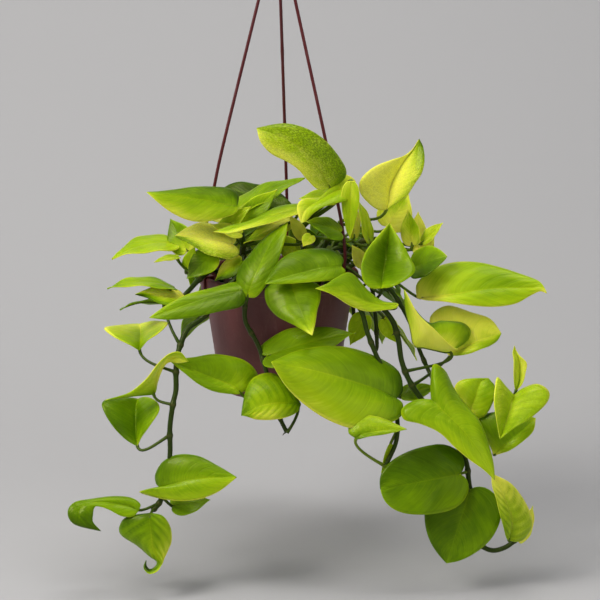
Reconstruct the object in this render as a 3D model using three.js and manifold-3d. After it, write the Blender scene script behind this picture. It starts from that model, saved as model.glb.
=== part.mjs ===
// Potted golden pothos in a hanging pot: millimetres, +Z up, the viewer's side is -Y.
import * as THREE from "three";
import { mergeVertices } from "three/addons/utils/BufferGeometryUtils.js";
import Module from "manifold-3d";

// Driving dimensions of the pot, in mm above its base and from its axis
const POT_HEIGHT = 122;
const RIM_RADIUS = 82.5;
const LIP_HEIGHT = 10;
const LIP_STANDS_PROUD = 5;
const POT_WALL = 2;
const POT_FLOOR = 3;
const BASE_RADIUS = 61;
const BASE_EDGE = 1.5;
const LIP_UNDER_EDGE = 0.8;
const LIP_TOP_EDGE = 1;
const POT_SIDES = 40;
const DRAIN_RADIUS = 3.5;
const DRAIN_CIRCLE = 34;
const DRAIN_COUNT = 5;
const DRAIN_SIDES = 8;

// Driving dimensions of the soil
const SOIL_EDGE_HEIGHT = 106;
const SOIL_CROWN_HEIGHT = 110;
const SOIL_CROWN_RADIUS = 45;
const HOLE_OVERSIZE = 2.1;
const HOLE_SIDES = 6;

// Driving dimensions of the hanger
const ARM_RADIUS = 1.5;
const ARM_PLAN_ANGLES = { hanger_arm_back: 84, hanger_arm_left: 204, hanger_arm_right: 324 };
const CLIP_WIDTH = 9;
const CLIP_THICKNESS = 2;
const CLIP_DEPTH_INSIDE = 8;
const CLIP_UNDERCUT = 2.2;
const ARM_SIDES = 5;
const ARM_STEPS = 12;
const HUB_RADIUS = 11;
const HUB_BASE_HEIGHT = 456;
const HUB_RIM_THICKNESS = 10;
const HUB_TOP_HEIGHT = 476;
const HUB_EDGE = 1;
const HUB_NECK = 2;
const HUB_SIDES = 18;
const SHAFT_RADIUS = 3;
const HOOK_BEND_RADIUS = 14;
const HOOK_CENTRE_HEIGHT = 502;
const HOOK_WIRE_RADIUS = 2.5;
const HOOK_ROOT = 4;
const HOOK_ANGLES = [-42, -15, 15, 45, 75, 105, 135, 165, 190, 210];
const HOOK_SIDES = 6;
const HOOK_STEPS = 18;
const ARM_SOCKET_DEPTH = 5;
const SOCKET_OVERRUN = 3;
const SOCKET_SIDES = 8;

// Driving dimensions of the plant
const BLADE_THICKNESS = 0.9;
const PETIOLE_RADIUS = 1.3;
const STEM_SIDES = 5;
const PETIOLE_SIDES = 3;
const PETIOLE_STEPS = 3;
const STEM_STEPS_PER_POINT = 1.5;

// How a petiole sets off along its stem and upward, how far its bends are from its ends, and
// where it ends under the blade
const PETIOLE_ALONG_STEM = 0.5;
const PETIOLE_UPWARD = 0.35;
const PETIOLE_FIRST_BEND = 0.35;
const PETIOLE_BEHIND_BASE = 0.1;
const PETIOLE_BELOW_BASE = 0.3;
const PETIOLE_END = { along: 0.05, firstRow: 0.4, below: 0.1 };

// Clearances between pieces that touch: level faces, faceted round walls, and hole bottoms
const GAP = 0.35;
const FACET_GAP = 0.6;
const HOLE_BOTTOM_GAP = 0.65;

const SEAT_HEIGHT = HOOK_CENTRE_HEIGHT + HOOK_BEND_RADIUS - HOOK_WIRE_RADIUS;
const radians = THREE.MathUtils.degToRad;
const vec = (point) => new THREE.Vector3(...point);

const wasm = await Module();
wasm.setup();

// Closed meshes as solids that can be joined and cut, and back again
function solid(geometry) {
  const bare = geometry.index ? geometry.toNonIndexed() : geometry.clone();
  for (const name of Object.keys(bare.attributes)) {
    if (name !== "position") bare.deleteAttribute(name);
  }
  const merged = mergeVertices(bare, 1e-4);
  const vertProperties = new Float32Array(merged.attributes.position.array);
  const triVerts = new Uint32Array(merged.index.array);
  return new wasm.Manifold(new wasm.Mesh({ numProp: 3, vertProperties, triVerts }));
}

function geometryOf(body) {
  const mesh = body.getMesh();
  const geometry = new THREE.BufferGeometry();
  geometry.setAttribute("position", new THREE.BufferAttribute(new Float32Array(mesh.vertProperties), 3));
  geometry.setIndex(new THREE.BufferAttribute(new Uint32Array(mesh.triVerts), 1));
  geometry.computeVertexNormals();
  return geometry;
}

function joined(bodies) {
  return bodies.reduce((sum, body) => sum.add(body));
}

function curveThrough(points) {
  return new THREE.CatmullRomCurve3(points.map(vec), false, "catmullrom", 0.5);
}

// A round bar of a few sides along a curve
function bar(curve, radius, sides, steps) {
  const section = new THREE.Shape();
  for (let side = 0; side < sides; side++) {
    const angle = (2 * Math.PI * side) / sides;
    const x = radius * Math.cos(angle);
    const y = radius * Math.sin(angle);
    if (side === 0) section.moveTo(x, y);
    else section.lineTo(x, y);
  }
  section.closePath();
  return new THREE.ExtrudeGeometry(section, { steps, bevelEnabled: false, extrudePath: curve });
}

// A turned body from a closed outline of radius and height
function turned(outline, sides) {
  const points = outline.map(([radius, height]) => new THREE.Vector2(radius, height));
  const geometry = new THREE.LatheGeometry(points, sides);
  geometry.rotateX(Math.PI / 2);
  return geometry;
}

// Pot: a tapered shell with a thick lip and drain holes
const lipUnderside = POT_HEIGHT - LIP_HEIGHT;
const wallTopRadius = RIM_RADIUS - LIP_STANDS_PROUD;
const taper = (wallTopRadius - BASE_RADIUS) / lipUnderside;
const outerRadius = (height) => BASE_RADIUS + taper * height;
const innerRadius = (height) => outerRadius(height) - POT_WALL;

function potBody() {
  const outline = [
    [0, 0],
    [BASE_RADIUS - BASE_EDGE, 0],
    [outerRadius(BASE_EDGE), BASE_EDGE],
    [wallTopRadius, lipUnderside],
    [RIM_RADIUS - LIP_UNDER_EDGE, lipUnderside],
    [RIM_RADIUS, lipUnderside + LIP_UNDER_EDGE],
    [RIM_RADIUS, POT_HEIGHT - LIP_TOP_EDGE],
    [RIM_RADIUS - LIP_TOP_EDGE, POT_HEIGHT],
    [innerRadius(POT_HEIGHT), POT_HEIGHT],
    [innerRadius(POT_FLOOR), POT_FLOOR],
    [0, POT_FLOOR],
  ];
  let pot = solid(turned(outline, POT_SIDES));
  for (let hole = 0; hole < DRAIN_COUNT; hole++) {
    const angle = (2 * Math.PI * hole) / DRAIN_COUNT;
    const drain = new THREE.CylinderGeometry(DRAIN_RADIUS, DRAIN_RADIUS, 4 * POT_FLOOR, DRAIN_SIDES);
    drain.rotateX(Math.PI / 2);
    drain.translate(DRAIN_CIRCLE * Math.cos(angle), DRAIN_CIRCLE * Math.sin(angle), 0);
    pot = pot.subtract(solid(drain));
  }
  return pot;
}

// Hanger: three arms that clip over the rim and meet in a hub with a hook.
// Each pair is a distance from the axis and a height, bowed out just above the rim.
const ARM_ROUTE = [
  [80.5, 124],
  [83.5, 148],
  [80, 176],
  [71.5, 212],
  [60.5, 258],
  [21.2, 402],
  [7.9, HUB_BASE_HEIGHT - 2],
  [6.6, HUB_BASE_HEIGHT + ARM_SOCKET_DEPTH],
];

function armCurve() {
  return curveThrough(ARM_ROUTE.map(([radius, height]) => [radius, 0, height]));
}

function clip() {
  const insideFace = innerRadius(POT_HEIGHT - CLIP_DEPTH_INSIDE) - FACET_GAP;
  const outsideFace = RIM_RADIUS + GAP;
  const top = POT_HEIGHT + GAP;
  const under = lipUnderside - GAP;
  const outline = [
    [insideFace - CLIP_THICKNESS, top - CLIP_DEPTH_INSIDE],
    [insideFace, top - CLIP_DEPTH_INSIDE],
    [insideFace, top],
    [outsideFace, top],
    [outsideFace, under],
    [outsideFace - CLIP_UNDERCUT, under],
    [outsideFace - CLIP_UNDERCUT, under - CLIP_THICKNESS],
    [outsideFace + CLIP_THICKNESS, under - CLIP_THICKNESS],
    [outsideFace + CLIP_THICKNESS, top + CLIP_THICKNESS],
    [insideFace - CLIP_THICKNESS, top + CLIP_THICKNESS],
  ];
  const shape = new THREE.Shape(outline.map(([radius, height]) => new THREE.Vector2(radius, height)));
  const geometry = new THREE.ExtrudeGeometry(shape, { depth: CLIP_WIDTH, bevelEnabled: false });
  geometry.translate(0, 0, -CLIP_WIDTH / 2);
  geometry.rotateX(Math.PI / 2);
  return solid(geometry);
}

function armBody(planAngle) {
  const arm = solid(bar(armCurve(), ARM_RADIUS, ARM_SIDES, ARM_STEPS)).add(clip());
  return arm.rotate([0, 0, planAngle]);
}

// The hook runs up from the hub, out to one side and over the top, and stays open on the other side
function hookCurve() {
  const around = (degrees) => [
    HOOK_BEND_RADIUS * Math.cos(radians(degrees)),
    0,
    HOOK_CENTRE_HEIGHT + HOOK_BEND_RADIUS * Math.sin(radians(degrees)),
  ];
  const points = [[0, 0, HUB_TOP_HEIGHT - HOOK_ROOT], [0, 0, HUB_TOP_HEIGHT + HOOK_ROOT]];
  for (const degrees of HOOK_ANGLES) points.push(around(degrees));
  return curveThrough(points);
}

// A socket follows the last stretch of an arm, from just below the hub to just past the arm's end
function socketLine() {
  const [low, high] = ARM_ROUTE.slice(-2).map(([radius, height]) => vec([radius, 0, height]));
  const along = high.clone().sub(low).normalize();
  low.addScaledVector(along, -SOCKET_OVERRUN);
  high.addScaledVector(along, FACET_GAP);
  return new THREE.LineCurve3(low, high);
}

function hubBody() {
  const outline = [
    [0, HUB_BASE_HEIGHT],
    [HUB_RADIUS - HUB_EDGE, HUB_BASE_HEIGHT],
    [HUB_RADIUS, HUB_BASE_HEIGHT + HUB_EDGE],
    [HUB_RADIUS, HUB_BASE_HEIGHT + HUB_RIM_THICKNESS],
    [SHAFT_RADIUS + HUB_NECK, HUB_TOP_HEIGHT - HUB_NECK],
    [SHAFT_RADIUS, HUB_TOP_HEIGHT],
    [0, HUB_TOP_HEIGHT],
  ];
  const hook = solid(bar(hookCurve(), HOOK_WIRE_RADIUS, HOOK_SIDES, HOOK_STEPS));
  let hub = solid(turned(outline, HUB_SIDES)).add(hook);
  for (const planAngle of Object.values(ARM_PLAN_ANGLES)) {
    const socket = solid(bar(socketLine(), ARM_RADIUS + GAP, SOCKET_SIDES, 1));
    hub = hub.subtract(socket.rotate([0, 0, planAngle]));
  }
  return hub;
}

// A blade's outline in leaf lengths: the lobe runs back from the petiole and out to the
// widest place, and the point runs on to the tip. Widths are in half widths.
const LOBE = [[0, 0], [-0.2, 0.25], [-0.05, 1], [0.27, 1]];
const SHARP_POINT = [[0.27, 1], [0.6, 1], [0.8, 0.3], [1, 0]];
const BLUNT_POINT = [[0.27, 1], [0.66, 1], [1.02, 0.75], [1, 0]];
const LOBE_STEPS = [0, 0.5];
const POINT_STEPS = [0, 0.3, 0.6, 0.82, 1];
const LOBE_RIB_SHARE = 0.16;
const RIB_PIECES = 24;
const CURL_START = 0.5;

function bezier(points, t) {
  const weights = [(1 - t) ** 3, 3 * t * (1 - t) ** 2, 3 * t * t * (1 - t), t ** 3];
  return [0, 1].map((axis) => points.reduce((sum, point, index) => sum + weights[index] * point[axis], 0));
}

function between(sharp, blunt, share) {
  const mix = (from, to) => from + share * (to - from);
  return sharp.map((point, index) => point.map((value, axis) => mix(value, blunt[index][axis])));
}

// Each row joins a place on the midrib to a place on the margin
function outlineRows({ blunt, lobe }) {
  const back = LOBE.map(([a, c]) => [a < 0 ? lobe * a : a, c]);
  const point = between(SHARP_POINT, BLUNT_POINT, blunt);
  const rows = [];
  for (const t of LOBE_STEPS) rows.push({ rib: LOBE_RIB_SHARE * t * t, margin: bezier(back, t) });
  for (const t of POINT_STEPS) {
    rows.push({ rib: LOBE_RIB_SHARE + (1 - LOBE_RIB_SHARE) * t, margin: bezier(point, t) });
  }
  return rows;
}

// The midrib as a chain of short pieces that bends down, curls further near its tip and
// sweeps to one side, set so that it starts at 0, 0, 0 and ends at 1, 0, 0
function midrib({ bend, curl, sweep }) {
  const points = [new THREE.Vector3()];
  const ways = [];
  for (let piece = 0; piece < RIB_PIECES; piece++) {
    const u = (piece + 0.5) / RIB_PIECES;
    const late = Math.max(0, u - CURL_START);
    const pitch = radians(bend * (0.5 - u) - (curl * late) / (1 - CURL_START));
    const yaw = radians(sweep * (0.5 - u));
    const ahead = vec([Math.cos(pitch) * Math.cos(yaw), Math.sin(yaw), Math.sin(pitch) * Math.cos(yaw)]);
    const aside = vec([-Math.sin(yaw), Math.cos(yaw), 0]);
    ways.push({ ahead, aside, normal: ahead.clone().cross(aside).normalize() });
    points.push(points[piece].clone().addScaledVector(ahead, 1 / RIB_PIECES));
  }
  const chord = points[RIB_PIECES].clone();
  const scale = 1 / chord.length();
  const first = chord.normalize();
  const third = vec([0, 0, 1]).addScaledVector(first, -first.z).normalize();
  const second = third.clone().cross(first);
  const turnedIn = (v) => vec([v.dot(first), v.dot(second), v.dot(third)]);
  for (const way of ways) {
    for (const key of Object.keys(way)) way[key] = turnedIn(way[key]);
  }
  return { points: points.map((point) => turnedIn(point).multiplyScalar(scale)), ways };
}

// The way along the blade's chord, the way its upper face looks and the way to its left
function bladeAxes({ base, tip, face }) {
  const along = vec(tip).sub(vec(base)).normalize();
  const up = vec(face).addScaledVector(along, -vec(face).dot(along)).normalize();
  return { along, up, side: up.clone().cross(along) };
}

// A function that places a point of the blade: a along the rib and c across it, in leaf lengths
function bladePlacer(leaf) {
  const { along, up, side } = bladeAxes(leaf);
  const length = vec(leaf.tip).distanceTo(vec(leaf.base));
  const rib = midrib(leaf);
  const turn = radians(leaf.fold);
  return (a, c, lift) => {
    const step = THREE.MathUtils.clamp(Math.floor(a * RIB_PIECES), 0, RIB_PIECES - 1);
    const { ahead, aside, normal } = rib.ways[step];
    const local = rib.points[step].clone().addScaledVector(ahead, a - step / RIB_PIECES);
    local.addScaledVector(aside, c * Math.cos(turn)).addScaledVector(normal, Math.abs(c) * Math.sin(turn));
    local.multiplyScalar(length).addScaledVector(normal, lift);
    return vec(leaf.base)
      .addScaledVector(along, local.x)
      .addScaledVector(side, local.y)
      .addScaledVector(up, local.z);
  };
}

// The rows of a blade that follows the outline's rule, lifted above or below its middle: each is
// a place on the left margin, on the midrib and on the right margin
function ruledRows(leaf) {
  const place = bladePlacer(leaf);
  const halfWidth = (sign) => (leaf.width / 2) * (1 + sign * leaf.uneven);
  return (lift) => outlineRows(leaf).map(({ rib, margin: [a, c] }) => [
    place(a, c * halfWidth(1), lift),
    place(rib, 0, lift),
    place(a, -c * halfWidth(-1), lift),
  ]);
}

// The way along the midrib and the way that the upper face looks, at a row of a drawn blade
function drawnWays(rows, index) {
  const last = rows.length - 1;
  const ahead = rows[Math.min(index + 1, last)][1].clone().sub(rows[Math.max(index - 1, 0)][1]).normalize();
  const [left, , right] = rows[THREE.MathUtils.clamp(index, 1, last - 1)];
  return { ahead, up: ahead.clone().cross(left.clone().sub(right)).normalize() };
}

// The rows of a drawn blade, whose margins are lifted square to their own half of it
function drawnRows(rows) {
  const lifted = (point, way, lift) => point.clone().addScaledVector(way, lift);
  return (lift) => rows.map(([left, rib, right], index) => {
    const { ahead, up } = drawnWays(rows, index);
    const atEnd = index === 0 || index === rows.length - 1;
    const square = (from, to) => (atEnd ? up : ahead.clone().cross(to.clone().sub(from)).normalize());
    const [leftWay, rightWay] = [square(rib, left), square(right, rib)];
    return [lifted(left, leftWay, lift), lifted(rib, up, lift), lifted(right, rightWay, lift)];
  });
}

// A blade of even thickness, split alike on both faces
function blade(leaf) {
  const rowsAt = leaf.rows ? drawnRows(leaf.rows) : ruledRows(leaf);
  const [top, bottom] = [rowsAt(BLADE_THICKNESS / 2), rowsAt(-BLADE_THICKNESS / 2)];
  const last = top.length - 1;
  const triangles = [];
  for (const [rows, flip] of [[top, false], [bottom, true]]) {
    for (const margin of [0, 2]) {
      const turnedRound = flip !== (margin === 2);
      const add = (a, b, c) => triangles.push(...(turnedRound ? [a, c, b] : [a, b, c]));
      for (let row = 0; row < last; row++) {
        const [here, next] = [rows[row], rows[row + 1]];
        if (row > 0) add(here[1], next[margin], here[margin]);
        if (row < last - 1) add(here[1], next[1], next[margin]);
      }
    }
  }
  for (const margin of [0, 2]) {
    for (let row = 0; row < last; row++) {
      const [high, highNext] = [top[row][margin], top[row + 1][margin]];
      const [low, lowNext] = [bottom[row][margin], bottom[row + 1][margin]];
      const quad = [high, highNext, lowNext, high, lowNext, low];
      triangles.push(...(margin === 0 ? quad : quad.reverse()));
    }
  }
  return solid(new THREE.BufferGeometry().setFromPoints(triangles));
}

// Where a petiole ends under its blade, and the blade's ways there
function bladeFoot(leaf) {
  if (!leaf.rows) {
    const { along, up } = bladeAxes(leaf);
    return { along, up, foot: bladePlacer(leaf)(PETIOLE_END.along, 0, -PETIOLE_END.below) };
  }
  const { ahead, up } = drawnWays(leaf.rows, 0);
  const foot = leaf.rows[0][1].clone().lerp(leaf.rows[1][1], PETIOLE_END.firstRow);
  return { along: ahead, up, foot: foot.addScaledVector(up, -PETIOLE_END.below) };
}

// The petiole leaves the stem, and comes up under the blade to its notch
function petiole(stem, pointCount, leaf) {
  const t = leaf.at / (pointCount - 1);
  const start = stem.getPoint(t);
  const tangent = stem.getTangent(t);
  const base = vec(leaf.base);
  const reach = base.clone().sub(start);
  const distance = reach.length();
  const { along, up, foot } = bladeFoot(leaf);
  const leave = reach.clone().normalize().addScaledVector(tangent, PETIOLE_ALONG_STEM);
  leave.z += PETIOLE_UPWARD;
  const first = start.clone().addScaledVector(leave.normalize(), distance * PETIOLE_FIRST_BEND);
  const second = base.clone().addScaledVector(along, -distance * PETIOLE_BEHIND_BASE);
  second.addScaledVector(up, -distance * PETIOLE_BELOW_BASE);
  return new THREE.CubicBezierCurve3(start, first, second, foot);
}

function leafBodies(stem, pointCount, leaf) {
  const stalk = solid(bar(petiole(stem, pointCount, leaf), PETIOLE_RADIUS, PETIOLE_SIDES, PETIOLE_STEPS));
  return [blade(leaf), stalk];
}

// Each leaf: its name, the point of the stem's route that it leaves from, the base and tip of its
// blade, the way its upper face looks, its width over its length, and its bend and fold in
// degrees. Some also curl at the tip or sweep to one side by so many degrees, are blunt or uneven
// by a share, or have longer lobes.
const leaf = (name, at, base, tip, face, width, bend, fold, more = {}) => (
  { name, at, base, tip, face, width, bend, fold, curl: 0, sweep: 0, blunt: 0, uneven: 0, lobe: 1, ...more }
);

// A leaf that is folded or curled its own way: its name, the point of the route that it leaves
// from, its base and tip, and rows from base to tip of a point on the left margin, on the midrib
// and on the right margin, as its upper face is looked at
function drawn(name, at, base, tip, sections) {
  const rows = [[base, base, base], ...sections, [tip, tip, tip]].map((row) => row.map(vec));
  return { name, at, base, rows };
}

const VINES = {
  vine_left_long: {
    radius: 2.3,
    turns: 1.2,
    route: [
      [-30, -36, 86], [-36, -52, 122], [-45, -78, 128], [-73, -86, 95], [-89, -93, 84], [-96, -100, 71],
      [-100, -108, 58], [-101, -115, 44], [-101, -120, 27], [-104, -124, 13], [-107, -128, -10],
      [-107, -130, -34], [-110, -129, -61], [-117, -130, -84], [-126, -133, -95],
    ],
    leaves: [
      drawn("yellow_cup", 7, [-138, -102, 63], [-140, -50, 78], [
        [[-149, -106, 71], [-138, -92, 69], [-130, -104, 73]],
        [[-164, -102, 78], [-138, -76, 74], [-119, -100, 80]],
        [[-173, -94, 83], [-139, -64, 77], [-110, -88, 88]],
        [[-166, -78, 84], [-140, -56, 79], [-121, -72, 86]],
      ]),
      leaf("low_left", 5.2, [-114, -78, 106], [-157, -96, 103], [0, 0.45, 0.9], 0.5, 45, 8),
      drawn("swept_back", 9, [-123, -118, 22], [-88, -123, 57], [
        [[-146, -126, 22], [-123, -118, 26], [-121, -116, 25]],
        [[-171, -132, 20], [-122, -118, 31], [-120, -114, 30]],
        [[-149, -130, 26], [-121, -117, 37], [-119, -113, 35]],
        [[-130, -127, 40], [-120, -116, 45], [-117, -112, 41]],
        [[-118, -126, 56], [-116, -117, 52], [-113, -114, 49]],
        [[-107, -126, 66], [-109, -119, 59], [-107, -118, 55]],
        [[-96, -125, 67], [-99, -121, 60], [-98, -120, 55]],
      ]),
      drawn("left_cup", 10.3, [-140, -124, -30], [-141, -86, 9], [
        [[-151, -127, -22], [-141, -119, -22], [-135, -127, -19]],
        [[-163, -127, -9], [-142, -111, -12], [-127, -130, -7]],
        [[-173, -121, 6], [-142, -103, -3], [-118, -126, 6]],
        [[-174, -112, 13], [-142, -95, 4], [-119, -115, 12]],
        [[-160, -96, 12], [-141, -90, 8], [-129, -100, 14]],
      ]),
      drawn("spear_right", 12, [-116, -136, -69], [-40, -153, -53], [
        [[-121, -132, -66], [-114, -136, -68], [-127, -132, -73]],
        [[-122, -130, -57], [-109, -138, -66], [-138, -128, -76]],
        [[-114, -130, -44], [-100, -141, -63], [-122, -136, -79]],
        [[-99, -132, -36], [-89, -144, -59], [-101, -144, -80]],
        [[-79, -137, -36], [-75, -147, -56], [-80, -150, -77]],
        [[-59, -144, -44], [-58, -150, -54], [-59, -153, -68]],
      ]),
      drawn("hooked_tip", 13.2, [-138, -142, -91], [-175, -152, -109], [
        [[-144, -146, -96], [-149, -140, -87], [-137, -138, -85]],
        [[-155, -147, -95], [-163, -140, -84], [-147, -134, -80]],
        [[-168, -147, -88], [-176, -142, -82], [-165, -133, -79]],
        [[-179, -147, -85], [-190, -146, -83], [-186, -138, -80]],
        [[-182, -148, -87], [-196, -149, -88], [-202, -144, -82]],
        [[-183, -150, -92], [-196, -152, -93], [-208, -149, -91]],
        [[-183, -151, -100], [-189, -153, -101], [-201, -152, -102]],
      ]),
      drawn("ring_tip", 13.7, [-126, -146, -92], [-124, -162, -137], [
        [[-114, -144, -96], [-127, -150, -98], [-149, -142, -97]],
        [[-107, -142, -108], [-126, -151, -107], [-157, -141, -106]],
        [[-106, -142, -122], [-126, -151, -116], [-156, -143, -116]],
        [[-111, -143, -133], [-126, -149, -127], [-141, -146, -124]],
        [[-117, -145, -141], [-125, -148, -136], [-133, -148, -137]],
        [[-121, -150, -147], [-126, -152, -144], [-133, -153, -145]],
        [[-123, -157, -148], [-127, -158, -146], [-131, -158, -145]],
      ]),
      leaf("under_spear", 12.8, [-104, -122, -92], [-68, -116, -88], [0, -0.6, 0.8], 0.8, 16, 8),
    ],
  },
  vine_left_short: {
    radius: 2.2,
    route: [
      [-52, -14, 86], [-60, -24, 122], [-66, -46, 133], [-79, -58, 126], [-90, -68, 116], [-99, -76, 108],
      [-107, -80, 106],
    ],
    leaves: [
      leaf("long_left", 5.6, [-107, -80, 123], [-169, -98, 125], [0, -0.12, 1], 0.46, 45, 8),
      leaf("bright_left", 4.8, [-97, -84, 111], [-141, -100, 120], [0.1, -0.5, 0.85], 0.62, 20, 10),
      leaf("thin_left", 3, [-101, -58, 149], [-124, -70, 146], [0, -0.3, 0.95], 0.45, 20, 12),
    ],
  },
  vine_front_left: {
    radius: 2,
    route: [
      [-22, -48, 86], [-27, -64, 124], [-31, -90, 120], [-33, -92, 105], [-32, -91, 89], [-23, -90, 72],
      [-18, -92, 61], [-12, -98, 42], [-6, -108, 19], [2, -118, -2], [9, -122, -16],
    ],
    leaves: [
      drawn("long_spear", 2.6, [-35, -94, 123], [-126, -130, 103], [
        [[-32, -98, 115], [-40, -95, 122], [-33, -86, 127]],
        [[-37, -106, 109], [-51, -99, 120], [-45, -84, 128]],
        [[-55, -114, 106], [-67, -105, 118], [-65, -92, 125]],
        [[-74, -121, 103], [-84, -112, 114], [-84, -102, 122]],
        [[-95, -126, 101], [-100, -119, 110], [-100, -113, 117]],
        [[-111, -129, 101], [-115, -125, 106], [-115, -122, 110]],
      ]),
      drawn("wide_left", 9, [-37, -112, 22], [-108, -114, 56], [
        [[-40, -114, 21], [-42, -112, 27], [-22, -100, 27]],
        [[-49, -116, 22], [-52, -111, 32], [-21, -98, 39]],
        [[-65, -119, 26], [-64, -112, 37], [-35, -100, 53]],
        [[-80, -120, 34], [-77, -114, 43], [-62, -105, 60]],
        [[-92, -120, 44], [-90, -115, 49], [-84, -110, 58]],
      ]),
      drawn("ribbed_front", 10, [23, -118, 12], [-36, -142, 7], [
        [[19, -122, 5], [14, -120, 14], [15, -108, 23]],
        [[7, -128, 1], [3, -124, 15], [3, -102, 36]],
        [[-8, -134, 0], [-9, -129, 15], [-11, -102, 40]],
        [[-21, -138, 2], [-20, -134, 13], [-25, -110, 36]],
        [[-29, -140, 5], [-28, -138, 10], [-32, -124, 26]],
      ]),
      leaf("under_front", 6.5, [-9, -98, 57], [78, -89, 78], [0, -0.6, 0.8], 0.52, 20, 8),
      drawn("upright_blade", 3, [-30, -95, 116], [10, -58, 185], [
        [[-37, -92, 117], [-28, -96, 124], [-21, -98, 117]],
        [[-41, -86, 127], [-24, -94, 134], [-12, -98, 128]],
        [[-39, -78, 140], [-18, -88, 146], [-4, -94, 141]],
        [[-29, -70, 154], [-11, -79, 159], [3, -84, 157]],
        [[-14, -62, 169], [-2, -68, 172], [8, -70, 173]],
      ]),
    ],
  },
  vine_front: {
    radius: 2,
    route: [[6, -38, 86], [10, -54, 122], [14, -66, 136]],
    leaves: [
      drawn("broad_front", 1.9, [63, -84, 145], [-13, -117, 134], [
        [[67, -90, 140], [56, -88, 145], [65, -74, 150]],
        [[59, -98, 135], [45, -93, 145], [54, -68, 158]],
        [[42, -106, 134], [31, -99, 143], [37, -72, 161]],
        [[24, -112, 134], [17, -106, 141], [18, -84, 160]],
        [[7, -115, 134], [3, -111, 138], [3, -96, 154]],
        [[-5, -116, 134], [-7, -114, 136], [-7, -108, 143]],
      ]),
      drawn("heart_down", 1.4, [13, -98, 131], [34, -138, 87], [
        [[28, -96, 133], [15, -104, 126], [-3, -94, 132]],
        [[41, -98, 128], [18, -111, 119], [-12, -96, 125]],
        [[42, -106, 117], [22, -118, 110], [-11, -104, 112]],
        [[39, -116, 107], [26, -126, 102], [-1, -116, 102]],
        [[37, -127, 97], [30, -132, 94], [16, -127, 95]],
      ]),
    ],
  },
  vine_right_mid: {
    radius: 2.1,
    route: [
      [24, -42, 86], [36, -56, 124], [62, -76, 128], [75, -88, 114], [84, -92, 99], [89, -97, 81],
      [98, -100, 58], [110, -104, 33], [118, -112, 4], [118, -124, -23], [107, -132, -48],
    ],
    leaves: [
      drawn("big_front", 7.6, [118, -116, 17], [-6, -152, 64], [
        [[124, -120, 12], [112, -117, 20], [124, -106, 23]],
        [[122, -127, 2], [101, -119, 26], [120, -98, 40]],
        [[105, -136, -4], [85, -123, 33], [102, -98, 54]],
        [[79, -144, -7], [65, -129, 41], [74, -108, 67]],
        [[50, -148, 4], [44, -136, 49], [46, -117, 71]],
        [[24, -150, 23], [22, -143, 56], [20, -127, 69]],
        [[6, -151, 42], [6, -148, 60], [5, -140, 66]],
      ]),
      drawn("folded_low", 10, [77, -150, -14], [127, -153, -4], [
        [[70, -146, -9], [82, -151, -10], [80, -153, -14]],
        [[73, -140, 1], [90, -152, -8], [90, -155, -11]],
        [[88, -140, 6], [101, -153, -6], [101, -156, -9]],
        [[105, -144, 4], [112, -153, -5], [113, -155, -7]],
      ]),
      drawn("tongue_mid", 3.5, [115, -98, 110], [37, -128, 132], [
        [[116, -102, 105], [107, -100, 112], [113, -92, 112]],
        [[105, -108, 104], [97, -104, 115], [99, -90, 122]],
        [[89, -115, 106], [85, -110, 119], [86, -92, 132]],
        [[72, -121, 113], [71, -116, 124], [72, -98, 141]],
        [[57, -126, 123], [58, -122, 128], [57, -112, 139]],
        [[47, -129, 129], [48, -126, 131], [48, -122, 135]],
      ]),
      leaf("dark_gap", 7.4, [125, -92, 14], [159, -76, 19], [0, -0.5, 0.85], 0.6, 15, 8),
    ],
  },
  vine_right_long: {
    radius: 2.3,
    turns: 1.2,
    route: [
      [44, -30, 86], [50, -46, 122], [62, -66, 128], [78, -76, 122], [96, -82, 110], [113, -86, 92],
      [120, -90, 73], [124, -94, 49], [134, -97, 26], [152, -102, 2], [172, -108, -23], [187, -113, -45],
      [191, -116, -67], [194, -117, -93], [197, -119, -117], [204, -121, -133], [215, -122, -139],
      [228, -122, -136], [240, -120, -128],
    ],
    leaves: [
      drawn("yellow_fold", 7.4, [175, -78, 57], [125, -104, 126], [
        [[180, -88, 61], [169, -80, 56], [190, -66, 63]],
        [[175, -94, 65], [158, -84, 59], [194, -60, 73]],
        [[164, -100, 75], [146, -90, 63], [186, -60, 82]],
        [[152, -104, 88], [136, -97, 67], [165, -66, 85]],
        [[141, -106, 100], [132, -98, 85], [150, -78, 86]],
        [[132, -106, 113], [127, -99, 104], [136, -90, 104]],
      ]),
      drawn("side_yellow", 8, [173, -64, 48], [226, -58, 70], [
        [[160, -54, 62], [180, -64, 52], [183, -70, 50]],
        [[154, -46, 83], [188, -63, 56], [194, -70, 52]],
        [[171, -42, 95], [197, -61, 60], [205, -68, 56]],
        [[197, -44, 88], [207, -59, 64], [215, -64, 59]],
        [[215, -50, 83], [217, -58, 67], [222, -60, 63]],
      ]),
      drawn("great_right", 9.8, [152, -122, 18], [214, -153, -56], [
        [[152, -112, 32], [155, -125, 16], [136, -124, 18]],
        [[155, -104, 49], [159, -128, 13], [123, -128, 10]],
        [[167, -102, 42], [164, -131, 8], [125, -133, 0]],
        [[176, -106, 25], [171, -134, 2], [141, -138, -3]],
        [[188, -114, 9], [180, -138, -6], [160, -144, -10]],
        [[200, -124, -4], [190, -142, -17], [175, -148, -24]],
        [[208, -134, -22], [200, -146, -30], [190, -150, -37]],
        [[213, -144, -39], [208, -150, -43], [203, -152, -46]],
      ]),
      leaf("dark_round", 11.6, [181, -126, -58], [102, -142, -69], [0, -0.97, 0.2], 0.84, 10, 5,
        { blunt: 1 }),
      leaf("dark_heart", 12.4, [192, -121, -76], [169, -126, -151], [0, -0.97, 0.2], 0.98, 12, 8,
        { blunt: 0.4 }),
      drawn("glossy_end", 18, [231, -128, -127], [211, -150, -50], [
        [[228, -131, -121], [233, -128, -118], [244, -122, -127]],
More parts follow.
